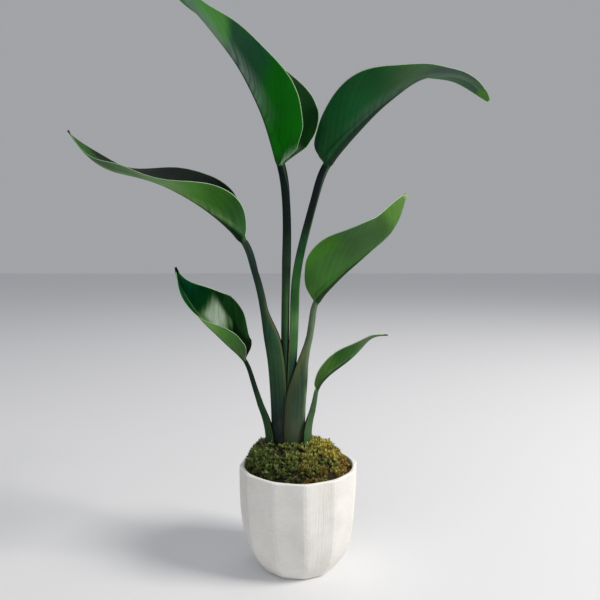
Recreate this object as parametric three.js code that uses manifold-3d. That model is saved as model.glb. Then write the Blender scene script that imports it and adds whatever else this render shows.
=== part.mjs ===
// A potted bird of paradise: six paddle leaves that clasp each other in a flat stem,
// standing in moss over potting mix in a twelve-sided ceramic pot.
// Millimetres, +Z up. The origin is the centre of the pot's flat underside, and the leaves fan out along X.
import * as THREE from "three";
import { mergeVertices } from "three/addons/utils/BufferGeometryUtils.js";
import Module from "manifold-3d";

// Pot
const POT_CORNER_RADIUS = 75;
const POT_HEIGHT = 129;
const POT_SIDES = 12;
const POT_TURN_DEG = -83.8;
// The facets' corners lean round by this much from the rim to the foot.
const POT_LEAN_DEG = 3;
const POT_WALL = 4.2;
const POT_FLOOR = 6;
const POT_POINTS_PER_SIDE = 4;
// Height as a share of the pot's height, and corner radius as a share of the widest.
const POT_PROFILE = [
  [0, 0.6],
  [0.012, 0.64],
  [0.04, 0.685],
  [0.085, 0.745],
  [0.165, 0.834],
  [0.27, 0.9],
  [0.4, 0.946],
  [0.6, 0.985],
  [0.8, 1],
  [1, 1],
];
// Heights where the inner wall turns, from the floor's rounding up.
const POT_INNER_TURNS = [11, 26, 52, 90, POT_HEIGHT];
const FLOOR_ROUND = 5;
const RIM_ROUND = 1.2;

// Potting mix and moss
const CLEARANCE = 0.4;
const MOSS_TOP = 157;
const MOSS_FALL = 36;
const MOSS_FALL_POWER = 2.2;
const MOSS_THICKNESS = 8;
const MOSS_LUMP = 2.6;
// Cushions: the two crossing waves, the third that breaks them up, and the bends in their rows.
const CUSHION_WAVES = { x: 0.29, y: 0.31, slantX: 0.47, slantY: 0.53, bend: 5, bendX: 0.11, bendY: 0.13 };
const BED_POINTS = POT_SIDES * POT_POINTS_PER_SIDE;
const MOSS_TOP_RINGS = 10;
const BED_LOWER_RINGS = 4;

// Stem: flat ellipses nested from the youngest leaf outwards
const STEM_FOOT = 96;
const CORE_LEFT = -22;
const CORE_RIGHT = -11.8;
const CORE_HALF_DEPTH = 6;
const SHEATH_MARGIN = 1.2;
const SHEATH_GAP = 0.6;
const STEM_HOLE = { x: -12.2, halfWidth: 30.4, halfDepth: 16.6 };
// The innermost stalk is solid in the stem but for a slit of a groove.
const CORE_GROOVE = { depth: 0.2, halfWidth: 0.9 };

// Stalks and blades
const LIP = 0.8;
const LIP_WIDTH = 0.7;
const STALK_WRAP = THREE.MathUtils.degToRad(105);
const STALK_TAPER_POWER = 0.8;
const ROLL_RUN = 50;
const BLADE_THICKNESS = 0.9;
const RIB = { tipHalf: 0.5, taper: 0.9, firstShare: 0.25, underReach: 1.25, keelTaper: 1.6 };
const VEIN_LEAN = 0.35;
const VEIN_LEAN_POWER = 0.37;
const VEIN_SWEEP = 1.5;
const RUFFLE = { run: 0.12, rate: 60 };
const WAVE_SHIFT = 1.7;
// The flattest bend that is still worked out as an arc, in radians.
const FLATTEST = 1e-4;
// Rows crowd at the blade's base and a little at its tip, and the stalk opens over the first of them.
const ROW_CROWDING = 1.35;
const TIP_CROWDING = 1.25;
const OPENING = 0.08;
const TIP_HALF_WIDTH = 0.8;
const HALF_STEPS = 5;
const BLADE_STEPS = [0, 0.22, 0.5, 0.78, 1];
const STALK_ROW_STEP = 21;

// Rootstock
const ROOTSTOCK = { top: 95.4, foot: 66, halfWidth: 26, halfDepth: 12, x: -12, points: 24 };
// Heights as shares of the stock, and its width there as a share of the widest.
const ROOTSTOCK_PROFILE = [
  [0, 0.62],
  [0.25, 0.88],
  [0.65, 1],
  [1, 0.94],
];
const ROOTS = { count: 8, radius: [3.6, 1.5], sides: 6, steps: 5, short: 0.72 };
// Roots start inside the stock and end on an ellipse round the pot's middle.
const ROOT_START = { halfWidth: 12, halfDepth: 5, above: 8 };
const ROOT_END = { x: -4, reach: 34, lowest: 16, shortLowest: 32 };
const ROOT_BEND = { out: 0.95, down: 0.45 };
const ROOT_SCATTER = { swing: 0.25, step: 2.1 };

// The leaves, youngest first, which is also from the inside of the stem outwards.
// side: +1 where the leaf leaves the stem to the left and -1 to the right.
// path: the line of the stalk's groove and then of the midrib. bladeAt: its point where the blade starts.
// back: the sheath's thickest part in the stem; reach: how far its wings run past the groove line.
// opens: the heights between which the sheath closes to a stalk.
// stalk: thickness and half width, where the stalk is free and at the blade.
// roll, fold and curl pull the blade from its base to its tip, in degrees.
const LEAVES = [
  {
    name: "leaf_top_left",
    colour: 0x1f5a24,
    side: 1,
    bladeAt: 7,
    path: [
      [-12, 0, STEM_FOOT], [-12, 0, 190], [-11.7, 0, 290], [-10.9, 0, 345], [-9.8, 0, 400], [-10.5, 0, 450],
      [-13.5, 0, 480], [-19, -1, 504], [-27, -2, 530], [-37, -4, 558], [-52, -7, 589], [-71, -9, 621],
      [-94, -11, 650], [-118, -13, 677], [-144, -16, 703], [-170, -18, 729],
    ],
    back: 10,
    reach: 0.1,
    opens: [345, 390],
    stalk: [[10.4, 5], [8.6, 4.2]],
    blade: { halfWidth: 67, base: 0.5, tip: 1.05, uneven: 0.065, rows: 21, wave: 1.4, waves: 3.5, ruffle: 2.6 },
    roll: [30, -5, 10, -18],
    fold: [75, 47, 5, 15],
    curl: [15, 0, -15, -10],
  },
  {
    name: "leaf_top_right",
    colour: 0x1d4a2b,
    side: -1,
    bladeAt: 7,
    path: [
      [-11.2, 0, STEM_FOOT], [-11.2, 0, 220], [-9.8, 0, 300], [-7.1, 0, 365], [-0.6, 0, 400], [8, 0, 433],
      [17, 0, 465], [32.5, 0, 503], [52, 2, 528], [74, 5, 551], [97, 8, 573], [124, 10, 594], [153, 13, 611],
      [180, 15, 615], [202, 17, 613], [219, 18, 604], [230, 19, 594], [238, 20, 585],
    ],
    back: 7,
    reach: 3.4,
    opens: [200, 335],
    stalk: [[10.4, 5], [8, 4.2]],
    blade: { halfWidth: 57, base: 0.45, tip: 0.67, uneven: 0.1, rows: 20, wave: 1.3, waves: 3, ruffle: 1.5 },
    roll: [-32, -56, -83, 45, 33, -16, 9],
    fold: [74, 33, -1, -6],
    curl: [20, 3, -15, 10],
  },
  {
    name: "leaf_upper_left",
    colour: 0x2f6a25,
    side: 1,
    bladeAt: 9,
    path: [
      [-24.4, 0, STEM_FOOT], [-24.4, 0, 190], [-26.7, 0, 236], [-29, 0, 261], [-33, 0, 287], [-38, 0, 318],
      [-43.2, 0, 345], [-51.2, 0, 374], [-59, 0, 396], [-66.5, 0, 410], [-88, -3, 433], [-113, -5, 452],
      [-140, -8, 468], [-169, -11, 481], [-199, -13, 489], [-230, -16, 497], [-255, -19, 515], [-273, -22, 540],
    ],
    back: 10,
    reach: 11,
    opens: [280, 330],
    stalk: [[8.6, 4.4], [6.8, 3.7]],
    blade: { halfWidth: 62, base: 0.85, tip: 1, uneven: 0.1, rows: 20, wave: 1.4, waves: 3, ruffle: 0 },
    roll: [-57, 44, 10, -7, 5],
    fold: [84, 46, -35, 35, 4],
    curl: [0, 0, 0, 0],
  },
  {
    name: "leaf_middle_right",
    colour: 0x3c6a33,
    side: -1,
    bladeAt: 7,
    path: [
      [-1.8, 0, STEM_FOOT], [-1.8, 0, 180], [-0.5, 0, 210], [2, 0, 236], [4.5, 0, 261], [9.6, 0, 287],
      [15.2, 0, 312], [21, 0, 334], [36, -2, 353], [55, -3, 371], [74, -5, 387], [93, -7, 403],
      [111, -8, 419], [124, -10, 442], [131, -12, 467],
    ],
    back: 10.3,
    reach: 16,
    opens: [205, 290],
    stalk: [[7.8, 4.2], [5.6, 3.2]],
    blade: { halfWidth: 51, base: 0.57, tip: 0.73, uneven: -0.1, rows: 17, wave: 1.2, waves: 2.5, ruffle: 0.8 },
    roll: [-46, 6, 10, -12],
    fold: [83, 42, 33, 41],
    curl: [0, 0, 0, 0],
  },
  {
    name: "leaf_lower_left",
    colour: 0x1d4426,
    side: 1,
    bladeAt: 6,
    path: [
      [-36.8, 0, STEM_FOOT], [-36.8, 0, 150], [-38, 0, 172], [-41, 0, 191], [-47, 0, 210], [-56.6, 0, 238],
      [-67, 0, 262], [-84, -2, 279], [-102, -3, 296], [-119, -5, 313], [-133, -7, 333], [-145, -8, 355],
      [-151, -10, 378],
    ],
    back: 4.4,
    reach: 6,
    opens: [160, 206],
    stalk: [[6.6, 3.6], [3.6, 2.2]],
    blade: { halfWidth: 56, base: 0.45, tip: 1.11, uneven: -0.04, rows: 17, wave: 1.2, waves: 2, ruffle: 1.6 },
    roll: [14, -28, 58, 33, 73],
    fold: [21, 38, 36, 47, 75],
    curl: [0, 0, 0, 0],
  },
  {
    name: "leaf_lower_right",
    colour: 0x44702f,
    side: -1,
    bladeAt: 5,
    path: [
      [10.9, 0, STEM_FOOT], [10.9, 0, 165], [12.3, 0, 183], [15, 0, 197], [18.5, 0, 210], [22, 0, 224],
      [31, 2, 237], [49, 5, 251], [66, 7, 263], [79, 9, 275], [94, 12, 288], [114, 14, 291],
    ],
    back: 6,
    reach: 4,
    opens: [170, 198],
    stalk: [[6.6, 3.4], [4, 2.2]],
    blade: { halfWidth: 22, base: 0.56, tip: 0.9, uneven: -0.1, rows: 14, wave: 0.8, waves: 2, ruffle: 0 },
    roll: [4, -39, -10, -2],
    fold: [32, 52, 23, 12],
    curl: [0, 0, 0, 0],
  },
];

const wasm = await Module();
wasm.setup();

const { clamp, lerp, smoothstep, degToRad } = THREE.MathUtils;

// Solids as rings of points: each ring joins the next by two triangles a point. A two-faced ring goes out along
// one face and back along the other, and both faces are split alike, so that a thin wall keeps its thickness.
function skin(rings, endCaps, twoFaced = false) {
  const points = rings.flat();
  const around = rings[0].length;
  const face = around / 2;
  const index = [];
  for (let r = 0; r + 1 < rings.length; r++) {
    for (let i = 0; i < around; i++) {
      const next = (i + 1) % around;
      const a = r * around + i;
      const b = r * around + next;
      const c = (r + 1) * around + i;
      const d = (r + 1) * around + next;
      if (twoFaced && i % face >= (face - 1) / 2) index.push(a, b, c, b, d, c);
      else index.push(a, b, d, a, d, c);
    }
  }
  endCaps(points, index, around, rings.length);
  const geometry = new THREE.BufferGeometry().setFromPoints(points);
  geometry.setIndex(index);
  return facingOut(geometry);
}

// Fans over the first and the last ring, from the middle of each.
function fanCaps(points, index, around, ringCount) {
  for (const last of [false, true]) {
    const first = last ? (ringCount - 1) * around : 0;
    const middle = new THREE.Vector3();
    for (let i = 0; i < around; i++) middle.add(points[first + i]);
    points.push(middle.divideScalar(around));
    const centre = points.length - 1;
    for (let i = 0; i < around; i++) {
      const a = first + i;
      const b = first + ((i + 1) % around);
      if (last) index.push(a, b, centre);
      else index.push(b, a, centre);
    }
  }
}

// A two-faced ring is closed by a strip between its faces.
function stripCaps(points, index, around, ringCount) {
  for (const last of [false, true]) {
    const first = last ? (ringCount - 1) * around : 0;
    for (let i = 0; i < around / 2 - 1; i++) {
      const a = first + i;
      const b = a + 1;
      const c = first + around - 1 - i;
      const d = c - 1;
      if (last) index.push(a, b, d, a, d, c);
      else index.push(b, a, d, d, a, c);
    }
  }
}

// A ring of rings, such as a bed with a hole through it, closes on itself.
function noCaps(points, index, around, ringCount) {
  const last = (ringCount - 1) * around;
  for (let i = 0; i < around; i++) {
    const next = (i + 1) % around;
    index.push(last + i, last + next, next, last + i, next, i);
  }
}

// The signed volume tells whether the faces point in, and then they are turned.
function facingOut(geometry) {
  const position = geometry.getAttribute("position");
  const index = geometry.index.array;
  const [a, b, c] = [new THREE.Vector3(), new THREE.Vector3(), new THREE.Vector3()];
  let volume = 0;
  for (let i = 0; i < index.length; i += 3) {
    a.fromBufferAttribute(position, index[i]);
    b.fromBufferAttribute(position, index[i + 1]);
    c.fromBufferAttribute(position, index[i + 2]);
    volume += a.dot(b.cross(c));
  }
  if (volume < 0) {
    for (let i = 0; i < index.length; i += 3) {
      [index[i + 1], index[i + 2]] = [index[i + 2], index[i + 1]];
    }
  }
  geometry.computeVertexNormals();
  return geometry;
}

function toSolid(geometry) {
  const bare = geometry.clone();
  bare.deleteAttribute("normal");
  const merged = mergeVertices(bare, 1e-4);
  return new wasm.Manifold(
    new wasm.Mesh({
      numProp: 3,
      vertProperties: merged.getAttribute("position").array,
      triVerts: new Uint32Array(merged.index.array),
    }),
  );
}

function toGeometry(solid) {
  const mesh = solid.getMesh();
  const geometry = new THREE.BufferGeometry();
  geometry.setAttribute("position", new THREE.BufferAttribute(mesh.vertProperties, 3));
  geometry.setIndex(new THREE.BufferAttribute(mesh.triVerts, 1));
  geometry.computeVertexNormals();
  return geometry;
}

// Pot

// Straight between a profile's points, which rise in height.
function radiusAt(profile, height) {
  const above = Math.max(1, profile.findIndex((point) => point[0] >= height));
  const [h0, r0] = profile[above - 1];
  const [h1, r1] = profile[above];
  return lerp(r0, r1, (height - h0) / (h1 - h0));
}

const POT_INNER_PROFILE = POT_INNER_TURNS.map((z) => {
  const corner = POT_CORNER_RADIUS * radiusAt(POT_PROFILE, z / POT_HEIGHT);
  return [z, corner * Math.cos(Math.PI / POT_SIDES) - POT_WALL];
});

function potInnerRadius(z) {
  return radiusAt(POT_INNER_PROFILE, z);
}

// A many-sided ring: the points of each side lie on its straight line.
function facetRing(cornerRadius, z) {
  const ring = [];
  const turn = degToRad(POT_TURN_DEG + POT_LEAN_DEG * (1 - z / POT_HEIGHT) ** 2);
  for (let side = 0; side < POT_SIDES; side++) {
    const from = turn + (side * 2 * Math.PI) / POT_SIDES;
    const to = from + (2 * Math.PI) / POT_SIDES;
    for (let i = 0; i < POT_POINTS_PER_SIDE; i++) {
      const share = i / POT_POINTS_PER_SIDE;
      const x = cornerRadius * lerp(Math.cos(from), Math.cos(to), share);
      const y = cornerRadius * lerp(Math.sin(from), Math.sin(to), share);
      ring.push(new THREE.Vector3(x, y, z));
    }
  }
  return ring;
}

function roundRing(radius, z, count, centreX = 0, halfDepth = radius) {
  const ring = [];
  for (let i = 0; i < count; i++) {
    const angle = degToRad(POT_TURN_DEG) + (i * 2 * Math.PI) / count;
    ring.push(new THREE.Vector3(centreX + radius * Math.cos(angle), halfDepth * Math.sin(angle), z));
  }
  return ring;
}

function pot() {
  const count = POT_SIDES * POT_POINTS_PER_SIDE;
  const rings = POT_PROFILE.map(([share, radius]) =>
    facetRing(POT_CORNER_RADIUS * radius, share * POT_HEIGHT - (share === 1 ? RIM_ROUND : 0)),
  );
  rings.push(facetRing(POT_CORNER_RADIUS - RIM_ROUND, POT_HEIGHT));
  rings.push(roundRing(potInnerRadius(POT_HEIGHT) + RIM_ROUND, POT_HEIGHT, count));
  rings.push(roundRing(potInnerRadius(POT_HEIGHT), POT_HEIGHT - RIM_ROUND, count));
  for (const z of POT_INNER_TURNS.slice(0, -1).reverse()) {
    rings.push(roundRing(potInnerRadius(z), z, count));
  }
  rings.push(roundRing(potInnerRadius(POT_INNER_TURNS[0]) - FLOOR_ROUND, POT_FLOOR, count));
  return skin(rings, fanCaps);
}

// Moss and potting mix

// share: 0 at the stems' hole and 1 at the pot's wall
function bedRing(share, height, lump, wallRadius) {
  const ring = [];
  for (let i = 0; i < BED_POINTS; i++) {
    const angle = degToRad(POT_TURN_DEG) + (i * 2 * Math.PI) / BED_POINTS;
    const holeX = STEM_HOLE.x + STEM_HOLE.halfWidth * Math.cos(angle);
    const holeY = STEM_HOLE.halfDepth * Math.sin(angle);
    const x = lerp(holeX, wallRadius * Math.cos(angle), share);
    const y = lerp(holeY, wallRadius * Math.sin(angle), share);
    ring.push(new THREE.Vector3(x, y, height + lump * lumps(x, y) * Math.sin(Math.PI * share) ** 0.4));
  }
  return ring;
}

// Rounded cushions, between 0 and 1.
function lumps(x, y) {
  const { x: rateX, y: rateY, slantX, slantY, bend, bendX, bendY } = CUSHION_WAVES;
  const u = x + bend * Math.sin(bendX * y + 1.3);
  const v = y + bend * Math.sin(bendY * x + 0.4);
  const wave = Math.sin(rateX * u) * Math.sin(rateY * v) + 0.6 * Math.sin(slantX * u + slantY * v + 1);
  return clamp(0.5 + 0.4 * wave, 0, 1);
}

function mossHeight(share) {
  return MOSS_TOP - MOSS_FALL * share ** MOSS_FALL_POWER;
}

function mossBed() {
  const rings = [];
  const edge = mossHeight(1);
  const wall = potInnerRadius(edge) - CLEARANCE;
  for (let i = 0; i <= BED_LOWER_RINGS; i++) {
    const share = i / BED_LOWER_RINGS;
    rings.push(bedRing(share, mossHeight(share) - MOSS_THICKNESS + CLEARANCE, 0, wall));
  }
  for (let i = MOSS_TOP_RINGS; i >= 0; i--) {
    const share = i / MOSS_TOP_RINGS;
    rings.push(bedRing(share, mossHeight(share), MOSS_LUMP, wall));
  }
  return skin(rings, noCaps);
}

function pottingMix() {
  const edge = mossHeight(1) - MOSS_THICKNESS;
  const lowest = POT_INNER_TURNS[0];
  const rings = [];
  rings.push(roundRing(potInnerRadius(lowest) - FLOOR_ROUND - CLEARANCE, POT_FLOOR + CLEARANCE, BED_POINTS));
  for (const z of [...POT_INNER_TURNS.slice(0, -1), edge]) {
    rings.push(roundRing(potInnerRadius(z) - CLEARANCE, z, BED_POINTS));
  }
  for (let i = BED_LOWER_RINGS - 1; i >= 0; i--) {
    const share = i / BED_LOWER_RINGS;
    rings.push(bedRing(share, mossHeight(share) - MOSS_THICKNESS, 0, potInnerRadius(edge) - CLEARANCE));
  }
  const holeRings = [STEM_FOOT - 1, MOSS_TOP + 1].map((z) =>
    roundRing(STEM_HOLE.halfWidth, z, BED_POINTS, STEM_HOLE.x, STEM_HOLE.halfDepth),
  );
  const stemHole = toSolid(skin(holeRings, fanCaps));
  const rootHole = rootstockSolid(CLEARANCE);
  return toGeometry(toSolid(skin(rings, fanCaps)).subtract(rootHole.add(stemHole)));
}

// Rootstock: a short upright stock with fleshy roots that run out and down. It is grown by
// the given amount all round to make the hole that it fills.
function rootstockSolid(grow = 0) {
  const { top, foot, halfWidth, halfDepth, x, points } = ROOTSTOCK;
  const rings = ROOTSTOCK_PROFILE.map(([share, width]) => {
    const z = lerp(foot - grow, top + grow, share);
    return roundRing(width * halfWidth + grow, z, points, x, width * halfDepth + grow);
  });
  let solid = toSolid(skin(rings, fanCaps));
  for (let i = 0; i < ROOTS.count; i++) {
    solid = solid.add(toSolid(root(i, grow)));
  }
  return solid;
}

// Every other root is long and reaches the bottom of the pot.
function root(i, grow) {
  const angle = (i * 2 * Math.PI) / ROOTS.count + ROOT_SCATTER.swing * Math.sin(ROOT_SCATTER.step * i);
  const long = i % 2 === 0;
  const reach = ROOT_END.reach * (long ? 1 : ROOTS.short);
  const lowest = long ? ROOT_END.lowest : ROOT_END.shortLowest;
  const [c, s] = [Math.cos(angle), Math.sin(angle)];
  const { halfWidth, halfDepth, above } = ROOT_START;
  const from = new THREE.Vector3(ROOTSTOCK.x + halfWidth * c, halfDepth * s, ROOTSTOCK.foot + above);
  const to = new THREE.Vector3(ROOT_END.x + reach * c, reach * s, lowest);
  const bend = new THREE.Vector3(to.x, to.y, 0).multiplyScalar(ROOT_BEND.out);
  bend.z = lerp(from.z, to.z, ROOT_BEND.down);
  const curve = new THREE.QuadraticBezierCurve3(from, bend, to);
  const rings = [];
  for (let step = 0; step <= ROOTS.steps; step++) {
    const share = step / ROOTS.steps;
    const centre = curve.getPoint(share);
    const radius = lerp(ROOTS.radius[0], ROOTS.radius[1], share) + grow;
    if (step === ROOTS.steps) centre.addScaledVector(curve.getTangent(1), grow);
    const direction = curve.getTangent(share);
    rings.push(roundRing(radius, 0, ROOTS.sides).map((point) => squareTo(direction, point).add(centre)));
  }
  return skin(rings, fanCaps);
}

// Turns a point of a level ring so that the ring stands square to a direction that goes down.
function squareTo(direction, point) {
  const turn = new THREE.Quaternion().setFromUnitVectors(new THREE.Vector3(0, 0, -1), direction);
  return point.applyQuaternion(turn);
}

// Leaves

// A smooth run from the first value to the last, pulled by those between them (a Bezier curve's height).
function pulled(values, share) {
  let run = [...values];
  while (run.length > 1) run = run.slice(1).map((value, i) => lerp(run[i], value, share));
  return run[0];
}

// A natural cubic spline through the path's points, measured along its length.
function smoothLine(path) {
  const points = path.map((p) => new THREE.Vector3(...p));
  const n = points.length;
  const at = [0];
  for (let i = 1; i < n; i++) at.push(at[i - 1] + points[i].distanceTo(points[i - 1]));
  const bend = bendsOf(points, at);
  const samplesPerSpan = 30;
  const dense = [];
  const knots = [0];
  for (let i = 0; i + 1 < n; i++) {
    const h = at[i + 1] - at[i];
    for (let s = i === 0 ? 0 : 1; s <= samplesPerSpan; s++) {
      const b = s / samplesPerSpan;
      const a = 1 - b;
      dense.push(
        new THREE.Vector3()
          .addScaledVector(points[i], a)
          .addScaledVector(points[i + 1], b)
          .addScaledVector(bend[i], ((a ** 3 - a) * h * h) / 6)
          .addScaledVector(bend[i + 1], ((b ** 3 - b) * h * h) / 6),
      );
    }
    knots.push(dense.length - 1);
  }
  const along = [0];
  for (let i = 1; i < dense.length; i++) along.push(along[i - 1] + dense[i].distanceTo(dense[i - 1]));
  return { dense, along, length: along.at(-1), knotAt: knots.map((k) => along[k]) };
}

// Second derivatives of the spline at its points, with free ends: each depends on its two neighbours,
// so they are worked out in one pass forwards and one back.
function bendsOf(points, at) {
  const n = points.length;
  const bend = points.map(() => new THREE.Vector3());
  const ratio = new Array(n).fill(0);
  for (let i = 1; i + 1 < n; i++) {
    const before = at[i] - at[i - 1];
    const after = at[i + 1] - at[i];
    const turn = points[i + 1].clone().sub(points[i]).divideScalar(after);
    turn.sub(points[i].clone().sub(points[i - 1]).divideScalar(before)).multiplyScalar(6);
    const pivot = 2 * (before + after) - before * ratio[i - 1];
    ratio[i] = after / pivot;
    bend[i] = turn.addScaledVector(bend[i - 1], -before).divideScalar(pivot);
  }
  for (let i = n - 2; i > 0; i--) bend[i].addScaledVector(bend[i + 1], -ratio[i]);
  return bend;
}

function pointAt(line, length) {
  const { dense, along } = line;
  const l = clamp(length, 0, line.length);
  let low = 0;
  let high = along.length - 1;
  while (high - low > 1) {
    const middle = (low + high) >> 1;
    if (along[middle] <= l) low = middle;
    else high = middle;
  }
  const share = (l - along[low]) / (along[high] - along[low]);
  return {
    point: dense[low].clone().lerp(dense[high], share),
    tangent: dense[high].clone().sub(dense[low]).normalize(),
  };
}

// Place and directions at a length: across goes towards the front, inner is the side that faces the stem.
// In the stem a section lies level, and it turns square to the stalk as the sheath closes.
function frameAt(leaf, line, length, roll) {
  const { point } = pointAt(line, length);
  const before = pointAt(line, length - 3).point;
  const after = pointAt(line, length + 3).point;
  const free = smoothstep(point.z, leaf.opens[0], leaf.opens[1]);
  const along = new THREE.Vector3(0, 0, 1).lerp(after.sub(before).normalize(), free).normalize();
  const front = new THREE.Vector3(0, -1, 0);
  const across = front.addScaledVector(along, -front.dot(along)).normalize();
  const inner = along.clone().cross(across).multiplyScalar(leaf.side);
  const turn = degToRad(roll);
  return {
    point,
    across: across.clone().multiplyScalar(Math.cos(turn)).addScaledVector(inner, -Math.sin(turn)),
    inner: inner.clone().multiplyScalar(Math.cos(turn)).addScaledVector(across, Math.sin(turn)),
  };
}

function place(frame, across, inner) {
  return frame.point.clone().addScaledVector(frame.across, across).addScaledVector(frame.inner, inner);
}

// The stem's nested ellipses: [left, right, half depth] of each leaf's outside, youngest first.
function stemLayers() {
  const layers = [[CORE_LEFT, CORE_RIGHT, CORE_HALF_DEPTH]];
  for (const leaf of LEAVES.slice(1)) {
    const [left, right, depth] = layers.at(-1);
    const thin = SHEATH_GAP + SHEATH_MARGIN;
    const thick = SHEATH_GAP + leaf.back;
    layers.push([
      left - (leaf.side > 0 ? thick : thin),
      right + (leaf.side > 0 ? thin : thick),
      depth + thin,
    ]);
  }
  return layers;
}

const STEM_LAYERS = stemLayers();

// The stalk's section at a length: the outer face is an arc of an ellipse from lip to lip,
// and the inner face an arc of a smaller one, hollow round the younger leaves and shallow on a free stalk.
function stalkSection(leaf, order, z, shareToBlade) {
  const free = smoothstep(z, leaf.opens[0], leaf.opens[1]);
  const [left, right, depth] = STEM_LAYERS[order];
  const hollow = { long: CORE_GROOVE.depth, half: CORE_GROOVE.halfWidth };
  if (order > 0) {
    const [innerLeft, innerRight, innerDepth] = STEM_LAYERS[order - 1];
    hollow.long = (innerRight - innerLeft) / 2 + SHEATH_GAP;
    hollow.half = innerDepth + SHEATH_GAP;
  }
  const taper = shareToBlade ** STALK_TAPER_POWER;
  const thickness = lerp(leaf.stalk[0][0], leaf.stalk[1][0], taper);
  const halfWidth = lerp(leaf.stalk[0][1], leaf.stalk[1][1], taper);
  const shallow = LIP / (1 - Math.cos(STALK_WRAP));
  return {
    back: lerp(leaf.back, thickness, free),
    reach: lerp(leaf.reach, LIP, free),
    outerLong: lerp((right - left) / 2, (thickness + LIP) / (1 - Math.cos(STALK_WRAP)), free),
    outerHalf: lerp(depth, halfWidth, free),
    innerLong: lerp(hollow.long, shallow, free),
    innerHalf: lerp(hollow.half, halfWidth - LIP_WIDTH, free),
  };
}

// Angle of an ellipse's arc that runs the given distance in from its end.
function wrapOf(distance, long) {
  return Math.acos(clamp(1 - distance / long, -1, 1));
}

function stalkRow(leaf, order, line, length, shareToBlade, roll) {
  const frame = frameAt(leaf, line, length, roll);
  const section = stalkSection(leaf, order, frame.point.z, shareToBlade);
  const outerWrap = wrapOf(section.back + section.reach, section.outerLong);
  const innerWrap = wrapOf(section.reach, section.innerLong);
  const upper = [];
  const under = [];
  for (let j = -HALF_STEPS; j <= HALF_STEPS; j++) {
    const share = j / HALF_STEPS;
    const outer = outerWrap * share;
    const inner = innerWrap * share;
    upper.push(
      place(frame, section.innerHalf * Math.sin(inner), section.innerLong * (1 - Math.cos(inner))),
    );
    under.push(
      place(
        frame,
        section.outerHalf * Math.sin(outer),
        section.outerLong * (1 - Math.cos(outer)) - section.back,
      ),
    );
  }
  return { upper, under };
}

// A blade half is bent round the midrib by the fold angle and then on by the curl towards its margin.
// Rows follow the side veins: from the midrib out and forwards to the margin.
function bladeRow(leaf, line, bladeStart, row) {
  const { halfWidth, base, tip, uneven, wave, waves, ruffle } = leaf.blade;
  const bladeLength = line.length - bladeStart;
  const share = 1 - (1 - row ** ROW_CROWDING) ** TIP_CROWDING;
  const widest = base / (base + tip);
  const shape = (share / widest) ** base * ((1 - share) / (1 - widest)) ** tip;
  const upper = [];
  const under = [];
  for (let j = -HALF_STEPS; j <= HALF_STEPS; j++) {
    const side = Math.sign(j) || 1;
    const full = Math.max(halfWidth * (1 - side * uneven) * shape, TIP_HALF_WIDTH);
    const from = share * bladeLength - VEIN_LEAN * full * share ** VEIN_LEAN_POWER;
    const ribHalf = RIB.tipHalf + leaf.stalk[1][1] * (1 - share) ** RIB.taper;
    const first = Math.min(ribHalf, RIB.firstShare * full);
    const out = j === 0 ? 0 : lerp(first, full, BLADE_STEPS[Math.abs(j) - 1]);
    const length = lerp(from, share * bladeLength, (out / full) ** VEIN_SWEEP);
    const at = clamp(length / bladeLength, 0, 1);
    const fold = degToRad(pulled(leaf.fold, at)) || FLATTEST;
    const curl = degToRad(pulled(leaf.curl, at)) || FLATTEST;
    const frame = frameAt(leaf, line, bladeStart + length, pulled(leaf.roll, at));
    const near = Math.min(out, ribHalf);
    const nearAngle = (fold * near) / ribHalf;
    let across = (ribHalf / fold) * Math.sin(nearAngle);
    let inner = (ribHalf / fold) * (1 - Math.cos(nearAngle));
    let angle = nearAngle;
    if (out > ribHalf) {
      const bend = curl / full;
      angle = fold + bend * (out - ribHalf);
      across += (Math.sin(angle) - Math.sin(fold)) / bend;
      inner += (Math.cos(fold) - Math.cos(angle)) / bend;
    }
    const edge = (out / full) ** 2;
    const swell = wave * edge * Math.sin(2 * Math.PI * waves * at + WAVE_SHIFT * side);
    const frill = ruffle * edge * Math.exp(-((at / RUFFLE.run) ** 2)) * Math.sin(RUFFLE.rate * at + side);
    const rib = Math.sqrt(Math.max(0, 1 - (out / (RIB.underReach * ribHalf)) ** 2));
    const keel = lerp(BLADE_THICKNESS, leaf.stalk[1][0], (1 - at) ** RIB.keelTaper);
    const depth = lerp(BLADE_THICKNESS, keel, rib);
    const lift = swell + frill;
    const normalAcross = -side * Math.sin(angle);
    const normalInner = Math.cos(angle);
    upper.push(place(frame, side * across + lift * normalAcross, inner + lift * normalInner));
    under.push(
      place(frame, side * across + (lift - depth) * normalAcross, inner + (lift - depth) * normalInner),
    );
  }
  return { upper, under, from: share * bladeLength - VEIN_LEAN * halfWidth * shape * share ** VEIN_LEAN_POWER };
}

function leafGeometry(leaf, order) {
  const line = smoothLine(leaf.path);
  const bladeStart = line.knotAt[leaf.bladeAt];
  const stalkRows = Math.round(bladeStart / STALK_ROW_STEP);
  const opened = pathLengthAt(line, leaf.opens[1]);
  const toBlade = (length) => clamp((length - opened) / (bladeStart - opened), 0, 1);
  const rows = [];
  for (let i = 0; i < stalkRows; i++) {
    const length = (bladeStart * i) / stalkRows;
    const roll = leaf.roll[0] * smoothstep(length, bladeStart - ROLL_RUN, bladeStart);
    rows.push(stalkRow(leaf, order, line, length, toBlade(length), roll));
  }
  for (let i = 0; i <= leaf.blade.rows; i++) {
    const t = i / leaf.blade.rows;
    const blade = bladeRow(leaf, line, bladeStart, t);
    const stalk = stalkRow(leaf, order, line, bladeStart + Math.max(0, blade.from), 1, leaf.roll[0]);
    const opening = smoothstep(t, 0, OPENING);
    rows.push({
      upper: stalk.upper.map((point, j) => point.lerp(blade.upper[j], opening)),
      under: stalk.under.map((point, j) => point.lerp(blade.under[j], opening)),
    });
  }
  return skin(rows.map(({ upper, under }) => [...upper, ...under.reverse()]), stripCaps, true);
}

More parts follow.
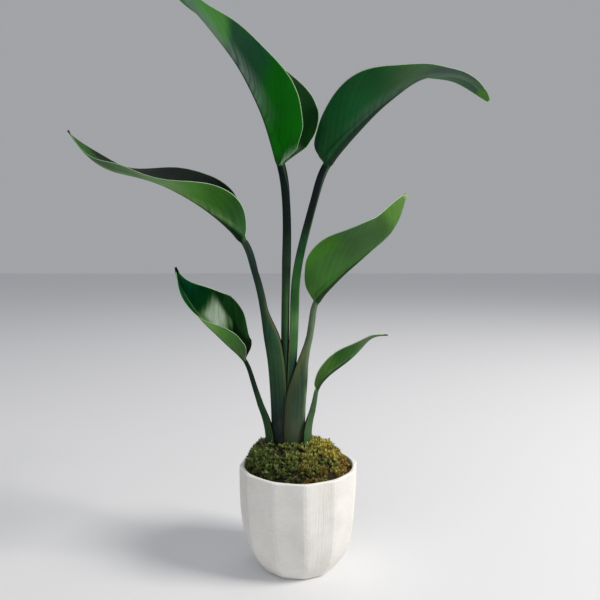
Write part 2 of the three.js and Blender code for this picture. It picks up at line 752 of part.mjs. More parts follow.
// The length along the line where it first rises to a height.
function pathLengthAt(line, z) {
  return line.along[line.dense.findIndex((point) => point.z >= z)];
}

// Assembly

const plant = new THREE.Group();

function addPiece(name, geometry, colour, roughness) {
  const material = new THREE.MeshStandardMaterial({ color: colour, roughness, metalness: 0 });
  const mesh = new THREE.Mesh(geometry, material);
  mesh.name = name;
  plant.add(mesh);
}

addPiece("pot", pot(), 0xd8d5cd, 0.85);
addPiece("potting_mix", pottingMix(), 0x2b211a, 1);
addPiece("moss_bed", mossBed(), 0x6b6a1f, 1);
addPiece("rootstock", toGeometry(rootstockSolid()), 0xd2bd92, 0.8);
LEAVES.forEach((leaf, order) => addPiece(leaf.name, leafGeometry(leaf, order), leaf.colour, 0.4));

export default plant;
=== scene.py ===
import math

import bpy
import numpy as np
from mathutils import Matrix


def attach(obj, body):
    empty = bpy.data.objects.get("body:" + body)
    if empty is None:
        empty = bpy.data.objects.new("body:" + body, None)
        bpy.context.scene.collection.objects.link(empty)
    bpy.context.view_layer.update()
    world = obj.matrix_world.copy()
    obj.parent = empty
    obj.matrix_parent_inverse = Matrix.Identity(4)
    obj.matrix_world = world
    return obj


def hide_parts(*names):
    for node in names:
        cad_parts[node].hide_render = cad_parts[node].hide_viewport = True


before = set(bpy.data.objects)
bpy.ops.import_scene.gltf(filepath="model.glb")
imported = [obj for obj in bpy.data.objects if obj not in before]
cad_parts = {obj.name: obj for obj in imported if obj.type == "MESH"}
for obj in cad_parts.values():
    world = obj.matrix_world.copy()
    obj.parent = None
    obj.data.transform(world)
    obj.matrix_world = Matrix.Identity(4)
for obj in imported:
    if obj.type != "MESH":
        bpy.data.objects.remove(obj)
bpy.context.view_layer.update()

# The pot: matte off-white ceramic, cast in one piece, with twelve facets that curve in at the foot, a thin
# rim that isn't quite even, and a round inside. Its surface keeps the weave and tool marks of its mould.
MM = 0.001
POT_HEIGHT = 129
POT_CORNER_RADIUS = 75
POT_SIDES = 12
POT_TURN = math.radians(-83.8)
POT_LEAN = math.radians(3)
POT_WALL = 4.2
POT_FLOOR = 6
FOOT_ROUND = 1.2
WALL_START = 1.6
RIM_ROUND = 1.6
FLOOR_ROUND = 5
CORNER_WEAR, CORNER_WEAR_REACH = 0.8, 1.3
CHIP_DEPTH, CHIP_REACH = 0.3, 2.5
FACET_HOLLOW = 0.25
# Height and corner radius, as shares of the pot's height and of its widest corner radius.
POT_PROFILE = np.array([
    [0, 0.6], [0.012, 0.64], [0.04, 0.685], [0.085, 0.745], [0.165, 0.834],
    [0.27, 0.9], [0.4, 0.946], [0.6, 0.985], [0.8, 1], [1, 1],
])
CLAY = (238, 236, 231)
# Darker clay of the weave and blotches, used also for painted shade in the tool-mark grooves.
CLAY_DARK_AND_GROOVE_SHADE = (214, 211, 204)
# Lighter clay of the worn corners, used also for the painted highlight on the corners and the rim.
CLAY_WORN_AND_HIGHLIGHT = (255, 253, 248)
CLAY_PIT = (158, 150, 136)
# Painted shade on the inside wall below the rim.
POT_INSIDE_SHADE = (120, 108, 88)


def tone(colour):
    """A colour as it is seen on a screen, 0 to 255, turned into the shader's linear values."""
    seen = np.array(colour) / 255
    return (*np.where(seen > 0.04045, ((seen + 0.055) / 1.055) ** 2.4, seen / 12.92).tolist(), 1.0)


def spline(at, values, where):
    """A natural cubic through the values: between two knots it is their straight line plus, at each end,
    a sixth of the bend there times the cube of the share less the share, times the span squared."""
    at, values, where = np.asarray(at, float), np.asarray(values, float), np.asarray(where, float)
    count, span = len(at), np.diff(at)
    system, right = np.eye(count), np.zeros((count, values.shape[1]))
    for i in range(1, count - 1):
        system[i, i - 1:i + 2] = span[i - 1], 2 * (span[i - 1] + span[i]), span[i]
        right[i] = 6 * ((values[i + 1] - values[i]) / span[i] - (values[i] - values[i - 1]) / span[i - 1])
    bend = np.linalg.solve(system, right)
    i = np.clip(np.searchsorted(at, where, side="right") - 1, 0, count - 2)
    b = (where - at[i]) / span[i]
    a = 1 - b
    a, b, square = a[..., None], b[..., None], (span[i] ** 2)[..., None] / 6
    return a * values[i] + b * values[i + 1] + ((a**3 - a) * bend[i] + (b**3 - b) * bend[i + 1]) * square


def smoothstep(value, start, end):
    share = np.clip((value - start) / (end - start), 0, 1)
    return share * share * (3 - 2 * share)


def between(first, second, share):
    return first * (1 - share) + second * share


def unit(vectors):
    return vectors / np.linalg.norm(vectors, axis=-1, keepdims=True)


def ring_faces(rings, around, caps):
    """Quads between rings of points laid one after the other. caps is fan, strip or none; a fan's two
    middle points come after the rings, and with none the last ring joins the first."""
    r, i = np.meshgrid(np.arange(rings if caps == "none" else rings - 1), np.arange(around), indexing="ij")
    n, up = (i + 1) % around, (r + 1) % rings
    faces = np.stack([r * around + i, r * around + n, up * around + n, up * around + i], -1)
    faces = faces.reshape(-1, 4).tolist()
    last = (rings - 1) * around
    if caps == "fan":
        for i in range(around):
            faces.append([(i + 1) % around, i, rings * around])
            faces.append([last + i, last + (i + 1) % around, rings * around + 1])
    if caps == "strip":
        for i in range(around // 2 - 1):
            faces.append([i + 1, i, around - 1 - i, around - 2 - i])
            faces.append([last + i, last + i + 1, last + around - 2 - i, last + around - 1 - i])
    return faces


def facing_out(points, faces):
    """The four-cornered faces, all turned over if the volume they enclose comes out below nothing."""
    corner = points[np.array(faces)]
    volume = sum((corner[:, 0] * np.cross(corner[:, k], corner[:, k + 1])).sum() for k in (1, 2))
    return faces if volume > 0 else [face[::-1] for face in faces]


def put_in_scene(name, data):
    thing = bpy.data.objects.new(name, data)
    bpy.context.scene.collection.objects.link(thing)
    return thing


def make_piece(name, points, faces, material, slot, nodes=(), smooth=True, **marks):
    """A mesh of points in millimetres that rides on the part and stands for the given CAD nodes.
    marks are values kept at each point, which its material reads by name."""
    mesh = bpy.data.meshes.new(name)
    mesh.from_pydata((np.asarray(points) * MM).tolist(), [], faces)
    for mark, values in marks.items():
        layer = mesh.attributes.new(mark, "FLOAT", "POINT")
        layer.data.foreach_set("value", np.asarray(values, np.float32).ravel())
    mesh.polygons.foreach_set("use_smooth", np.full(len(mesh.polygons), smooth))
    mesh.materials.append(material)
    mesh.update()
    piece = put_in_scene(name, mesh)
    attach(piece, "root")
    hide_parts(*nodes)


class Value:
    """A shader socket. Arithmetic on it adds a Math node and gives that node's result."""

    def __init__(self, tree, socket):
        self.tree, self.socket = tree, socket

    def math(self, operation, *others):
        return math_node(self.tree, operation, self, *others)

    def __add__(self, other):
        return self.math("ADD", other)

    def __sub__(self, other):
        return self.math("SUBTRACT", other)

    def __rsub__(self, other):
        return math_node(self.tree, "SUBTRACT", other, self)

    def __mul__(self, other):
        return self.math("MULTIPLY", other)

    __radd__ = __add__
    __rmul__ = __mul__


def math_node(tree, operation, *values):
    node = tree.nodes.new("ShaderNodeMath")
    node.operation = operation
    for place, value in enumerate(values):
        plug(tree, node.inputs[place], value)
    return Value(tree, node.outputs[0])


def plug(tree, socket, value):
    if isinstance(value, Value):
        tree.links.new(value.socket, socket)
    else:
        socket.default_value = value


class Paint:
    """A material in the making: one principled shader, and the nodes that feed it."""

    def __init__(self, name, gloss=0.5):
        self.material = bpy.data.materials.new(name)
        self.material.use_nodes = True
        self.tree = self.material.node_tree
        self.shader = self.tree.nodes["Principled BSDF"]
        self.shader.inputs["Specular IOR Level"].default_value = gloss
        self.place = self.node("TexCoord", output="Object")

    def node(self, kind, settings=None, output=0, **inputs):
        """A node with its settings. An input is named, or is i and its number."""
        node = self.tree.nodes.new("ShaderNode" + kind)
        for name, value in (settings or {}).items():
            setattr(node, name, value)
        for name, value in inputs.items():
            plug(self.tree, node.inputs[int(name[1:]) if name[1:].isdigit() else name], value)
        return Value(self.tree, node.outputs[output])

    def mark(self, name):
        return self.node("Attribute", {"attribute_name": name}, output="Fac")

    def height(self):
        """Height over the floor in millimetres."""
        return self.node("SeparateXYZ", output="Z", Vector=self.place) * (1 / MM)

    def point(self, x, y, z=0.0):
        return self.node("CombineXYZ", X=x, Y=y, Z=z)

    def stretched(self, x, y, z):
        return self.node("VectorMath", {"operation": "MULTIPLY"}, i0=self.place, i1=(x, y, z))

    def noise(self, scale, detail=3.0, roughness=0.55, at=None):
        return self.node("TexNoise", Vector=at or self.place, Scale=scale, Detail=detail, Roughness=roughness)

    def step(self, value, start, end, low=0.0, high=1.0):
        settings = {"interpolation_type": "SMOOTHSTEP"}
        return self.node("MapRange", settings, i0=value, i1=start, i2=end, i3=low, i4=high)

    def mix(self, share, first, second, blend="MIX"):
        settings = {"data_type": "RGBA", "blend_type": blend, "clamp_factor": True}
        first, second = (tone(seen) if isinstance(seen, tuple) else seen for seen in (first, second))
        return self.node("Mix", settings, output=2, i0=share, i6=first, i7=second)

    def finish(self, colour, roughness, height=None, depth=None):
        """depth is the relief in metres where height goes from 0 to 1."""
        plug(self.tree, self.shader.inputs["Base Color"], colour)
        plug(self.tree, self.shader.inputs["Roughness"], roughness)
        if height is not None:
            bump = self.node("Bump", Strength=1.0, Distance=depth, Height=height)
            plug(self.tree, self.shader.inputs["Normal"], bump)
        return self.material


def pot_surface(around_a_side=26, wall_rows=110, rim_rows=12, inner_rows=24):
    """Rings from the middle of the underside up the facets, over the rim and down the round inside. A facet's
    radius is its flat distance over the cosine of the angle from its middle, softened at the corners, less a
    slight hollow, and uneven by waves of height and angle. The corners lean round towards the foot."""
    side = np.linspace(-1, 1, around_a_side, endpoint=False)
    crowded = np.sin(side * math.pi / 2) * 0.6 + side * 0.4
    half = math.pi / POT_SIDES
    off_middle = np.tile(crowded * half, POT_SIDES)
    angle = POT_TURN + np.repeat(np.arange(POT_SIDES) * 2 * half + half, around_a_side) + off_middle
    near_corner = (half - np.abs(off_middle)) * POT_CORNER_RADIUS
    to_polygon = math.cos(half) / np.cos(off_middle)
    softening = CORNER_WEAR * np.exp(-near_corner / CORNER_WEAR_REACH)

    def corner_radius(height):
        return POT_CORNER_RADIUS * spline(POT_PROFILE[:, 0], POT_PROFILE[:, 1:], height / POT_HEIGHT)[..., 0]

    def facet(height, inset=0.0):
        hollow = FACET_HOLLOW * np.cos(off_middle / half * math.pi) * smoothstep(height, 0, 40)
        wander = 0.12 * np.sin(height / 17 + 3 * angle) + 0.1 * np.sin(height / 7.3 + 5 * angle)
        chips = np.sin(height * 1.1 + 9 * angle) * np.sin(height * 0.47 + 4 * angle)
        chips = chips * np.exp(-near_corner / CHIP_REACH)
        flat = corner_radius(height) * to_polygon
        return flat - softening - hollow + wander - CHIP_DEPTH * chips - inset

    def round_wall(height):
        return np.full(len(angle), corner_radius(height) * math.cos(half) - POT_WALL)

    # Each ring is its radius, its height, its share of the rim's unevenness, and whether it is inside.
    wall_top, floor_edge = POT_HEIGHT - RIM_ROUND, POT_FLOOR + FLOOR_ROUND
    rings = [(facet(0.0, inset), max(0.0, FOOT_ROUND - inset), 0, False) for inset in (30, 12, 4, 1.2, 0.3)]
    for share in np.linspace(0, 1, wall_rows) ** 1.15:
        height = WALL_START + share * (wall_top - WALL_START)
        rings.append((facet(height), height, share**6, False))
    outer, inner = facet(wall_top), round_wall(wall_top)
    for turn in np.linspace(0, math.pi, rim_rows)[1:-1]:
        share = (1 - math.cos(turn)) / 2
        height = wall_top + RIM_ROUND * math.sin(turn) ** 0.7
        rings.append((outer + (inner - outer) * share, height, 1, turn > 0.6 * math.pi))
    for height in np.linspace(wall_top, floor_edge, inner_rows):
        rings.append((round_wall(height), height, 0, True))
    for inset in (1.5, 5, 20, 45):
        height = POT_FLOOR + FLOOR_ROUND * max(0, 1 - inset / FLOOR_ROUND) ** 2
        rings.append((round_wall(floor_edge) - inset, height, 0, True))
    uneven = 0.35 * np.sin(2 * angle + 0.5) + 0.25 * np.sin(5 * angle) + 0.15 * np.sin(11 * angle + 2)
    points = []
    for radius, height, lifted, _ in rings:
        z = height + uneven * lifted * 0.8
        turned = angle + POT_LEAN * (1 - height / POT_HEIGHT) ** 2
        points.append(np.stack([radius * np.cos(turned), radius * np.sin(turned), z], -1))
    points = np.array(points)
    points[..., 2] = np.clip(points[..., 2], 0, POT_HEIGHT)

    def on_each_ring(values):
        return np.append(np.tile(values, len(rings)), [0, 0])

    return (
        np.vstack([points.reshape(-1, 3), [[0, 0, 0], [0, 0, POT_FLOOR]]]),
        ring_faces(len(rings), len(angle), "fan"),
        dict(
            around=on_each_ring(angle),
            facet=on_each_ring(off_middle / half),
            side=on_each_ring(np.repeat(np.arange(POT_SIDES), around_a_side)),
            inside=np.append(np.repeat([ring[3] for ring in rings], len(angle)), [0, 1]),
        ),
    )


def pot_material():
    """Threads of drawn-out noise cross like a coarse cloth: upright ones, with long tool marks, rule on
    every third facet and level ones on the rest. Painted shade darkens the grooves of the tool marks and
    the inside wall below the rim. The corners, partly worn and partly with a painted highlight, and the
    rim, with a painted highlight, are a little lighter."""
    paint = Paint("pot_ceramic", gloss=0.3)
    mix, step, noise, point = paint.mix, paint.step, paint.noise, paint.point
    around = paint.mark("around") * float(POT_CORNER_RADIUS)
    height = paint.height()
    upright_side = paint.mark("side").math("MODULO", 3.0).math("LESS_THAN", 0.5)
    level = noise(1.0, 4.0, 0.62, point(around * 0.09, height * 1.1))
    upright = noise(1.0, 4.0, 0.62, point(around * 1.25, height * 0.03, 3.0))
    tooling = noise(1.0, 2.0, 0.5, point(around * 0.33, height * 0.006, 9.0))
    broad = noise(1.0, at=paint.stretched(22, 22, 30))
    grain = noise(900.0, 3.0, 0.7)
    weave = level * (0.8 - upright_side * 0.5) + upright * (0.2 + upright_side * 0.45) + grain * 0.35
    grooves = step(tooling, 0.48, 0.66) * (0.05 + upright_side * 0.5)
    to_corner = paint.mark("facet").math("ABSOLUTE")
    # Painted highlight: the corners, partly worn as well, and the rim are painted lighter.
    worn_and_highlit = step(to_corner + (grain - 0.5) * 0.06 + (broad - 0.5) * 0.05, 0.935, 0.97)
    rim_highlight = step(height + broad * 2.0, 127.6, 129.4)
    # Darker clay where the weave and broad blotches run, and painted shade in the tool-mark grooves.
    tone_and_groove_shade = step(weave, 0.5, 1.0) * 0.5 + step(broad, 0.35, 0.7) * 0.4 + grooves * 0.3
    pit = step(noise(260.0, 2.0), 0.27, 0.22)
    # Painted shade: the inside wall darkens from the rim down towards the moss.
    inside_shade = step(height + broad * 8.0, 131.0, 122.0) * paint.mark("inside")
    colour = mix(tone_and_groove_shade, CLAY, CLAY_DARK_AND_GROOVE_SHADE)
    colour = mix((worn_and_highlit * 0.5 + rim_highlight).math("MINIMUM", 1.0) * 0.85, colour, CLAY_WORN_AND_HIGHLIGHT)
    colour = mix(pit * 0.5, colour, CLAY_PIT)
    colour = mix(inside_shade * 0.5, colour, POT_INSIDE_SHADE)
    relief = weave - pit * 0.4 - grooves * 0.2
    return paint.finish(colour, 0.62 + 0.2 * grain, relief, 0.0009)


pot_points, pot_faces, pot_marks = pot_surface()
make_piece("ceramic_pot", pot_points, pot_faces, pot_material(), "ceramic", ["pot"], **pot_marks)

# The potting mix under the moss, and the fleshy rootstock in it: out of sight, so they stay the CAD solids.
# The mix is composted bark with pale bits of grit, and the roots are cream with brown creases.


def potting_mix_material():
    paint = Paint("bark_mix")
    bits = paint.node("TexVoronoi", Vector=paint.place, Scale=260.0)
    tint = paint.noise(90.0, 4.0)
    colour = paint.mix(paint.step(tint, 0.35, 0.65), (38, 27, 19), (78, 56, 38))
    grit = paint.step(bits, 0.18, 0.08) * paint.step(tint, 0.55, 0.6)
    colour = paint.mix(grit, colour, (190, 184, 168))
    return paint.finish(colour, 0.95, bits, 0.001)


def root_material():
    paint = Paint("root_skin")
    creases = paint.noise(60.0, 4.0, at=paint.stretched(1, 1, 8))
    colour = paint.mix(paint.step(creases, 0.4, 0.7), (222, 204, 158), (158, 122, 76))
    return paint.finish(colour, 0.7, creases, 0.0004)


for node, material, slot in (
    ("potting_mix", potting_mix_material(), "potting_mix"),
    ("rootstock", root_material(), "root"),
):
    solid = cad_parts[node]
    solid.data.materials.clear()
    solid.data.materials.append(material)

# The moss bed: a mat of dead moss and crumbs of bark, mounded round the stems and falling to below the rim.
# The living moss grows out of it in short upright sprigs, olive and yellow to the right with painted
# sunlight, dark to the left with painted shade.
MOSS_TOP = 157
MOSS_FALL = 36
MOSS_FALL_POWER = 2.2
MOSS_LUMP = 2.6
MAT_THICKNESS = 7.6
MAT_SINK = 3.2
MAT_CRUMB = 0.4
MAT_SEED, TUFT_SEED = 7, 5
STEM_HOLE = (-12.2, 30.4, 16.6)
WALL_AT_MOSS = 67.8
WALL_GAP = 2.5
TUFT_COUNT = 470
TUFT_SPREAD = 1.9
SPRIG_COUNT = 2900
SPRIG_SINK = 4.2
SPRIG_STEM_RADIUS = 0.35
LEAFLETS = 8
LEAFLET_HALF_WIDTH = 0.7
SPIRAL_STEP = 2.4


def cushions(x, y):
    """Rounded lumps between 0 and 1: two crossing waves in bent rows, broken up by a third."""
    u = x + 5 * np.sin(0.11 * y + 1.3)
    v = y + 5 * np.sin(0.13 * x + 0.4)
    wave = np.sin(0.29 * u) * np.sin(0.31 * v) + 0.6 * np.sin(0.47 * u + 0.53 * v + 1)
    return np.clip(0.5 + 0.4 * wave, 0, 1)


def bed_point(share, angle, lump):
    """share runs from 0 at the stems' hole to 1 at the wall, and the height falls with a power of it."""
    hole_x, hole_wide, hole_deep = STEM_HOLE
    x = between(hole_x + hole_wide * np.cos(angle), WALL_AT_MOSS * np.cos(angle), share)
    y = between(hole_deep * np.sin(angle), WALL_AT_MOSS * np.sin(angle), share)
    height = MOSS_TOP - MOSS_FALL * share**MOSS_FALL_POWER
    rise = lump * cushions(x, y) * np.sin(math.pi * np.clip(share, 0, 1)) ** 0.4
    return np.stack([x, y, height + rise], -1)


def low_side(x, share):
    """How far the living moss lies below the bed's even mound: much more at the wall than at the stems, and
    a touch more on the right."""
    return (5.8 + 0.4 * smoothstep(x, -20, 45)) * share**2.1


def moss_mat():
    """Rings from the stems' hole out along the underside and back over the top, rough with crumbs."""
    around, under_rings, top_rings = 180, 5, 60
    angle = np.arange(around) * 2 * math.pi / around
    crumbs = np.random.default_rng(MAT_SEED)
    rings = []
    for share in np.linspace(0, 1, under_rings):
        rings.append(bed_point(np.full(around, share), angle, 0) - [0, 0, MAT_THICKNESS])
    for share in np.linspace(1, 0, top_rings):
        ring = bed_point(np.full(around, share), angle, MOSS_LUMP)
        rough = crumbs.normal(0, MAT_CRUMB, around)
        ring[:, 2] += rough - MAT_SINK - 0.7 * low_side(ring[:, 0], share)
        rings.append(ring)
    points, faces = np.concatenate(rings), ring_faces(len(rings), around, "none")
    return points, facing_out(points, faces)


def moss_mat_material():
    paint = Paint("moss_mat")
    crumbs = paint.noise(420.0, 5.0, 0.7)
    broad = paint.noise(55.0, 3.0)
    colour = paint.mix(paint.step(crumbs, 0.35, 0.7), (14, 12, 8), (50, 38, 20))
    colour = paint.mix(paint.step(broad, 0.45, 0.65) * 0.5, colour, (34, 36, 12))
    return paint.finish(colour, 0.95, crumbs, 0.0015)


def tufts():
    """Where the tufts stand, scattered evenly over the bed and a little closer near the stems; then how light
    each one is, and its luck, which shifts where its painted sunlight falls and where it turns dry."""
    draw = np.random.default_rng(TUFT_SEED)
    share = draw.random(TUFT_COUNT) ** 0.6
    angle = draw.random(TUFT_COUNT) * 2 * math.pi
    return share, angle, draw.random(TUFT_COUNT), draw.normal(0, 1, TUFT_COUNT)


def sprigs(seed, count, reach):
    """Upright sprigs in tufts, tall in a tuft's middle and leaning out round it. Each stem is a three-sided
    spike, and its leaflets are four-faced points set round it in a spiral, that stand out and up."""
    draw = np.random.default_rng(seed)
    tuft = draw.integers(0, TUFT_COUNT, count)
    tuft_share, tuft_angle, tuft_hue, luck = (values[tuft] for values in tufts())
    offset = draw.normal(0, TUFT_SPREAD, (count, 2))
    ground = bed_point(tuft_share, tuft_angle, MOSS_LUMP)[:, :2] + offset
    ground = ground * np.minimum(1, (WALL_AT_MOSS - WALL_GAP) / np.hypot(*ground.T))[:, None]
    angle = np.arctan2(ground[:, 1], ground[:, 0])
    share = np.clip(np.hypot(*ground.T) / WALL_AT_MOSS, 0, 1)
    outwards = np.stack([np.cos(angle), np.sin(angle), np.zeros(count)], -1)
    slope = MOSS_FALL * MOSS_FALL_POWER * tuft_share ** (MOSS_FALL_POWER - 1) / WALL_AT_MOSS
    height = MOSS_TOP - MOSS_FALL * tuft_share**MOSS_FALL_POWER
    height = height - slope * (offset * outwards[:, :2]).sum(1) * 0.8 + MOSS_LUMP * cushions(*ground.T)
    root = np.column_stack([ground, height - SPRIG_SINK - low_side(ground[:, 0], share)])
    apart = np.hypot(*offset.T) / TUFT_SPREAD
    lean = outwards * (0.25 * share - 0.3 * share**4)[:, None] + draw.normal(0, 0.16, (count, 3))
    lean[:, :2] += offset / TUFT_SPREAD * 0.32
    up = unit(lean + [0, 0, 1])
    side = unit(np.cross(up, draw.normal(0, 1, (count, 3))))
    third = np.cross(up, side)
    tall = reach * (1.15 - 0.28 * apart) * (0.55 + 0.75 * draw.random(count)) * (0.7 + 0.5 * tuft_hue)
    tall = np.maximum(1.5, tall * (1 - 0.35 * share**5))
    bend = draw.uniform(0.05, 0.35, count)

    def on_stem(along):
        return root + up * (tall * along)[:, None] + side * (tall * bend * along**2)[:, None]

    turns = np.array([0, 2, 4]) * math.pi / 3
    parts = [root + (side * math.cos(a) + third * math.sin(a)) * SPRIG_STEM_RADIUS for a in turns]
    parts.append(on_stem(0.95))
    faces = [[0, 1, 3], [1, 2, 3], [2, 0, 3], [2, 1, 0]]
    for k in range(LEAFLETS):
        along = 0.3 + 0.7 * (k + 0.5) / LEAFLETS
        spin = k * SPIRAL_STEP + draw.random(count) * 0.6
        out = side * np.cos(spin)[:, None] + third * np.sin(spin)[:, None]
        ahead = unit(out + up * (0.75 + 0.9 * along))
        wide = unit(np.cross(ahead, up))
        back = np.cross(wide, ahead)
        length = 2.1 + 1.9 * math.sin(math.pi * (0.25 + 0.6 * along))
        length = length * (0.75 + 0.5 * draw.random(count))[:, None]
        start = on_stem(along)
        middle = start + ahead * (length * 0.4)
        wide = wide * LEAFLET_HALF_WIDTH
        parts += [start, middle + wide, middle - wide + back * 0.2, start + ahead * length + up * 0.35]
        base = 4 + k * 4
        faces += [[base, base + 1, base + 2], [base, base + 3, base + 1]]
        faces += [[base + 1, base + 3, base + 2], [base, base + 2, base + 3]]
    each = len(parts)
    every = (np.array(faces)[None] + (np.arange(count) * each)[:, None, None]).reshape(-1, 3)
    up_share = np.concatenate([[0, 0, 0, 0.9], np.tile([0.3, 0.7, 0.7, 1], LEAFLETS)])
    hue = np.clip(tuft_hue * 0.45 + draw.random(count) ** 2.6 * 0.95, 0, 1)
    # Where the painted sunlight falls: more to the right and towards the back, shifted by each tuft's luck.
    sunlit_side = root[:, 0] + 0.4 * root[:, 1] + 14 * luck + draw.normal(0, 9, count)
    dry = share + 0.16 * luck + 0.004 * root[:, 0]
    marks = dict(hue=hue, sunlit_side=smoothstep(sunlit_side, -31, 41), dry=smoothstep(dry, 0.86, 1.2))
    marks = {name: np.repeat(values, each) for name, values in marks.items()}
    return np.stack(parts, 1).reshape(-1, 3), every.tolist(), dict(tip=np.tile(up_share, count), **marks)


def sprig_material():
    """Each sprig is one colour: dark green, olive or yellow by chance, and brown where it has dried along the
    wall, with painted sunlight making it lighter to the right. It darkens to its foot with painted shade
    and lightens to its tips, which are partly pale new growth and partly a painted highlight."""
    paint = Paint("moss_sprigs", gloss=0.25)
    mix, step = paint.mix, paint.step
    hue, sunlit_side, dry, tip = (paint.mark(name) for name in ("hue", "sunlit_side", "dry", "tip"))
    fleck = paint.noise(700.0, 2.0)
    dark = mix(hue, (10, 18, 8), (150, 172, 92))
    bright = mix(hue, (82, 92, 22), (252, 232, 116))
    # Painted sunlight and shade: sprigs to the right take the bright tones, those to the left the dark ones.
    colour = mix(sunlit_side, dark, bright)
    colour = mix(dry * 0.85, colour, mix(hue, (96, 60, 26), (176, 126, 62)))
    # Painted shade: each sprig darkens towards its foot, deep in the tuft.
    colour = mix(step(tip, 0.15, 0.95, 0.9, 0.0), colour, (8, 9, 4))
    # Pale tips, partly new growth and partly a painted highlight, stronger where the painted sunlight falls.
    colour = mix(step(tip, 0.85, 1.0) * (0.25 + sunlit_side * 0.4), colour, (246, 238, 146))
    colour = mix(step(fleck, 0.5, 0.75) * 0.3, colour, (44, 40, 18))
    return paint.finish(colour, 0.8)


make_piece("moss_mat", *moss_mat(), moss_mat_material(), "moss", ["moss_bed"])
moss_green = sprig_material()
for name, seed, reach in (("moss_sprigs_tall", 11, 6.0), ("moss_sprigs_short", 12, 4.6)):
    points, faces, marks = sprigs(seed, SPRIG_COUNT, reach)
    make_piece(name, points, faces, moss_green, "moss", smooth=False, **marks)

# A forked bit of dead twig with dark bark, thinner than a match, in the moss to the left of the stems.
# It isn't fixed: it lies where it fell, and the sprigs round it hold it.
TWIG_LINES = (
    [(-43, -14, 148), (-43.5, -15, 157), (-45.5, -16, 164), (-46, -16, 168)],
    [(-43.4, -15, 156), (-42, -16, 161), (-42.6, -17, 165)],
    [(-30, -30, 150), (-35, -33, 156), (-42, -35, 157)],
)


def tube(line, start_radius, end_radius, around=8, rows=18):
    """Rings round a smooth line, level with one another, whose radius runs straight from start to end."""
    share = np.linspace(0, 1, rows)
    centre = spline(np.linspace(0, 1, len(line)), line, share)
    along = unit(np.gradient(centre, axis=0))
    side = unit(np.cross(along, [0.3, 0.9, 0.1]))
    third = np.cross(along, side)
    turn = np.arange(around) * 2 * math.pi / around
    knobs = 1 + 0.12 * np.sin(9 * share[:, None] + 2 * turn)
    radius = (start_radius + (end_radius - start_radius) * share)[:, None] * knobs
    ring = side[:, None] * np.cos(turn)[:, None] + third[:, None] * np.sin(turn)[:, None]
    points = (centre[:, None] + ring * radius[..., None]).reshape(-1, 3)
    return np.vstack([points, centre[0], centre[-1]]), ring_faces(rows, around, "fan")


def twig_material():
    paint = Paint("twig_bark")
    bark = paint.noise(900.0, 4.0, at=paint.stretched(1, 1, 0.3))
    return paint.finish(paint.mix(bark, (24, 20, 16), (70, 58, 44)), 0.85, bark, 0.0003)


twig_parts = [tube(line, 0.75, 0.35) for line in TWIG_LINES]
twig_faces, reached = [], 0
for points, faces in twig_parts:
    twig_faces += [[corner + reached for corner in face] for face in faces]
    reached += len(points)
twig_points = np.vstack([points for points, _ in twig_parts])
make_piece("twig_in_moss", twig_points, twig_faces, twig_material(), "moss")

# The leaves: each is one living piece, a sheath that clasps the younger leaves, a grooved stalk, and a blade
# folded up along its midrib. They stand on the rootstock and hold one another up. The table is in millimetres
# and degrees, youngest first, as they are nested; blade_at is the path's point where the blade begins.
STEM_FOOT = 96
CORE = (-22, -11.8, 6)
CORE_HOLLOW = (0.2, 0.9)
SHEATH_MARGIN = 1.2
SHEATH_GAP = 0.6
LIP = 0.8
LIP_WIDTH = 0.7
STALK_WRAP = math.radians(105)
STALK_TAPER_POWER = 0.8
ROLL_RUN = 50
LINE_STEPS = 30
AIM_REACH = 3
BLADE_THICKNESS = 0.9
MARGIN_THICKNESS = 0.45
ROW_CROWDING = 1.35
TIP_CROWDING = 1.25
VEIN_LEAN = 0.35
VEIN_LEAN_POWER = 0.37
VEIN_SWEEP = 1.5
VEIN_RUN = 1.4
PLEAT = 12
PLEAT_HEIGHT = 0.13
RIB_PARTS = 5
RIB_SWELL = 1.25
OPENING = 0.08
TIP_HALF_WIDTH = 0.8
NECK_SHARE = 0.4
BLADE_STEPS = (0, 0.22, 0.5, 0.78, 1)
FLATTEST = 1e-4
MARGIN_GREEN = (184, 222, 172)
# Painted shade along the keel.
KEEL_SHADE = (10, 24, 18)
RIB_GREEN = (112, 140, 112)
GROOVE_GREEN = (84, 120, 74)
OLD_BROWN = (74, 66, 42)
STEM_FLECK = (104, 116, 84)
LEAF_MARKS = ("out", "edge", "blade", "half", "vein")
STRAW = ((150, 58, 60, 42), (215, 62, 66, 42), (270, 92, 98, 60))
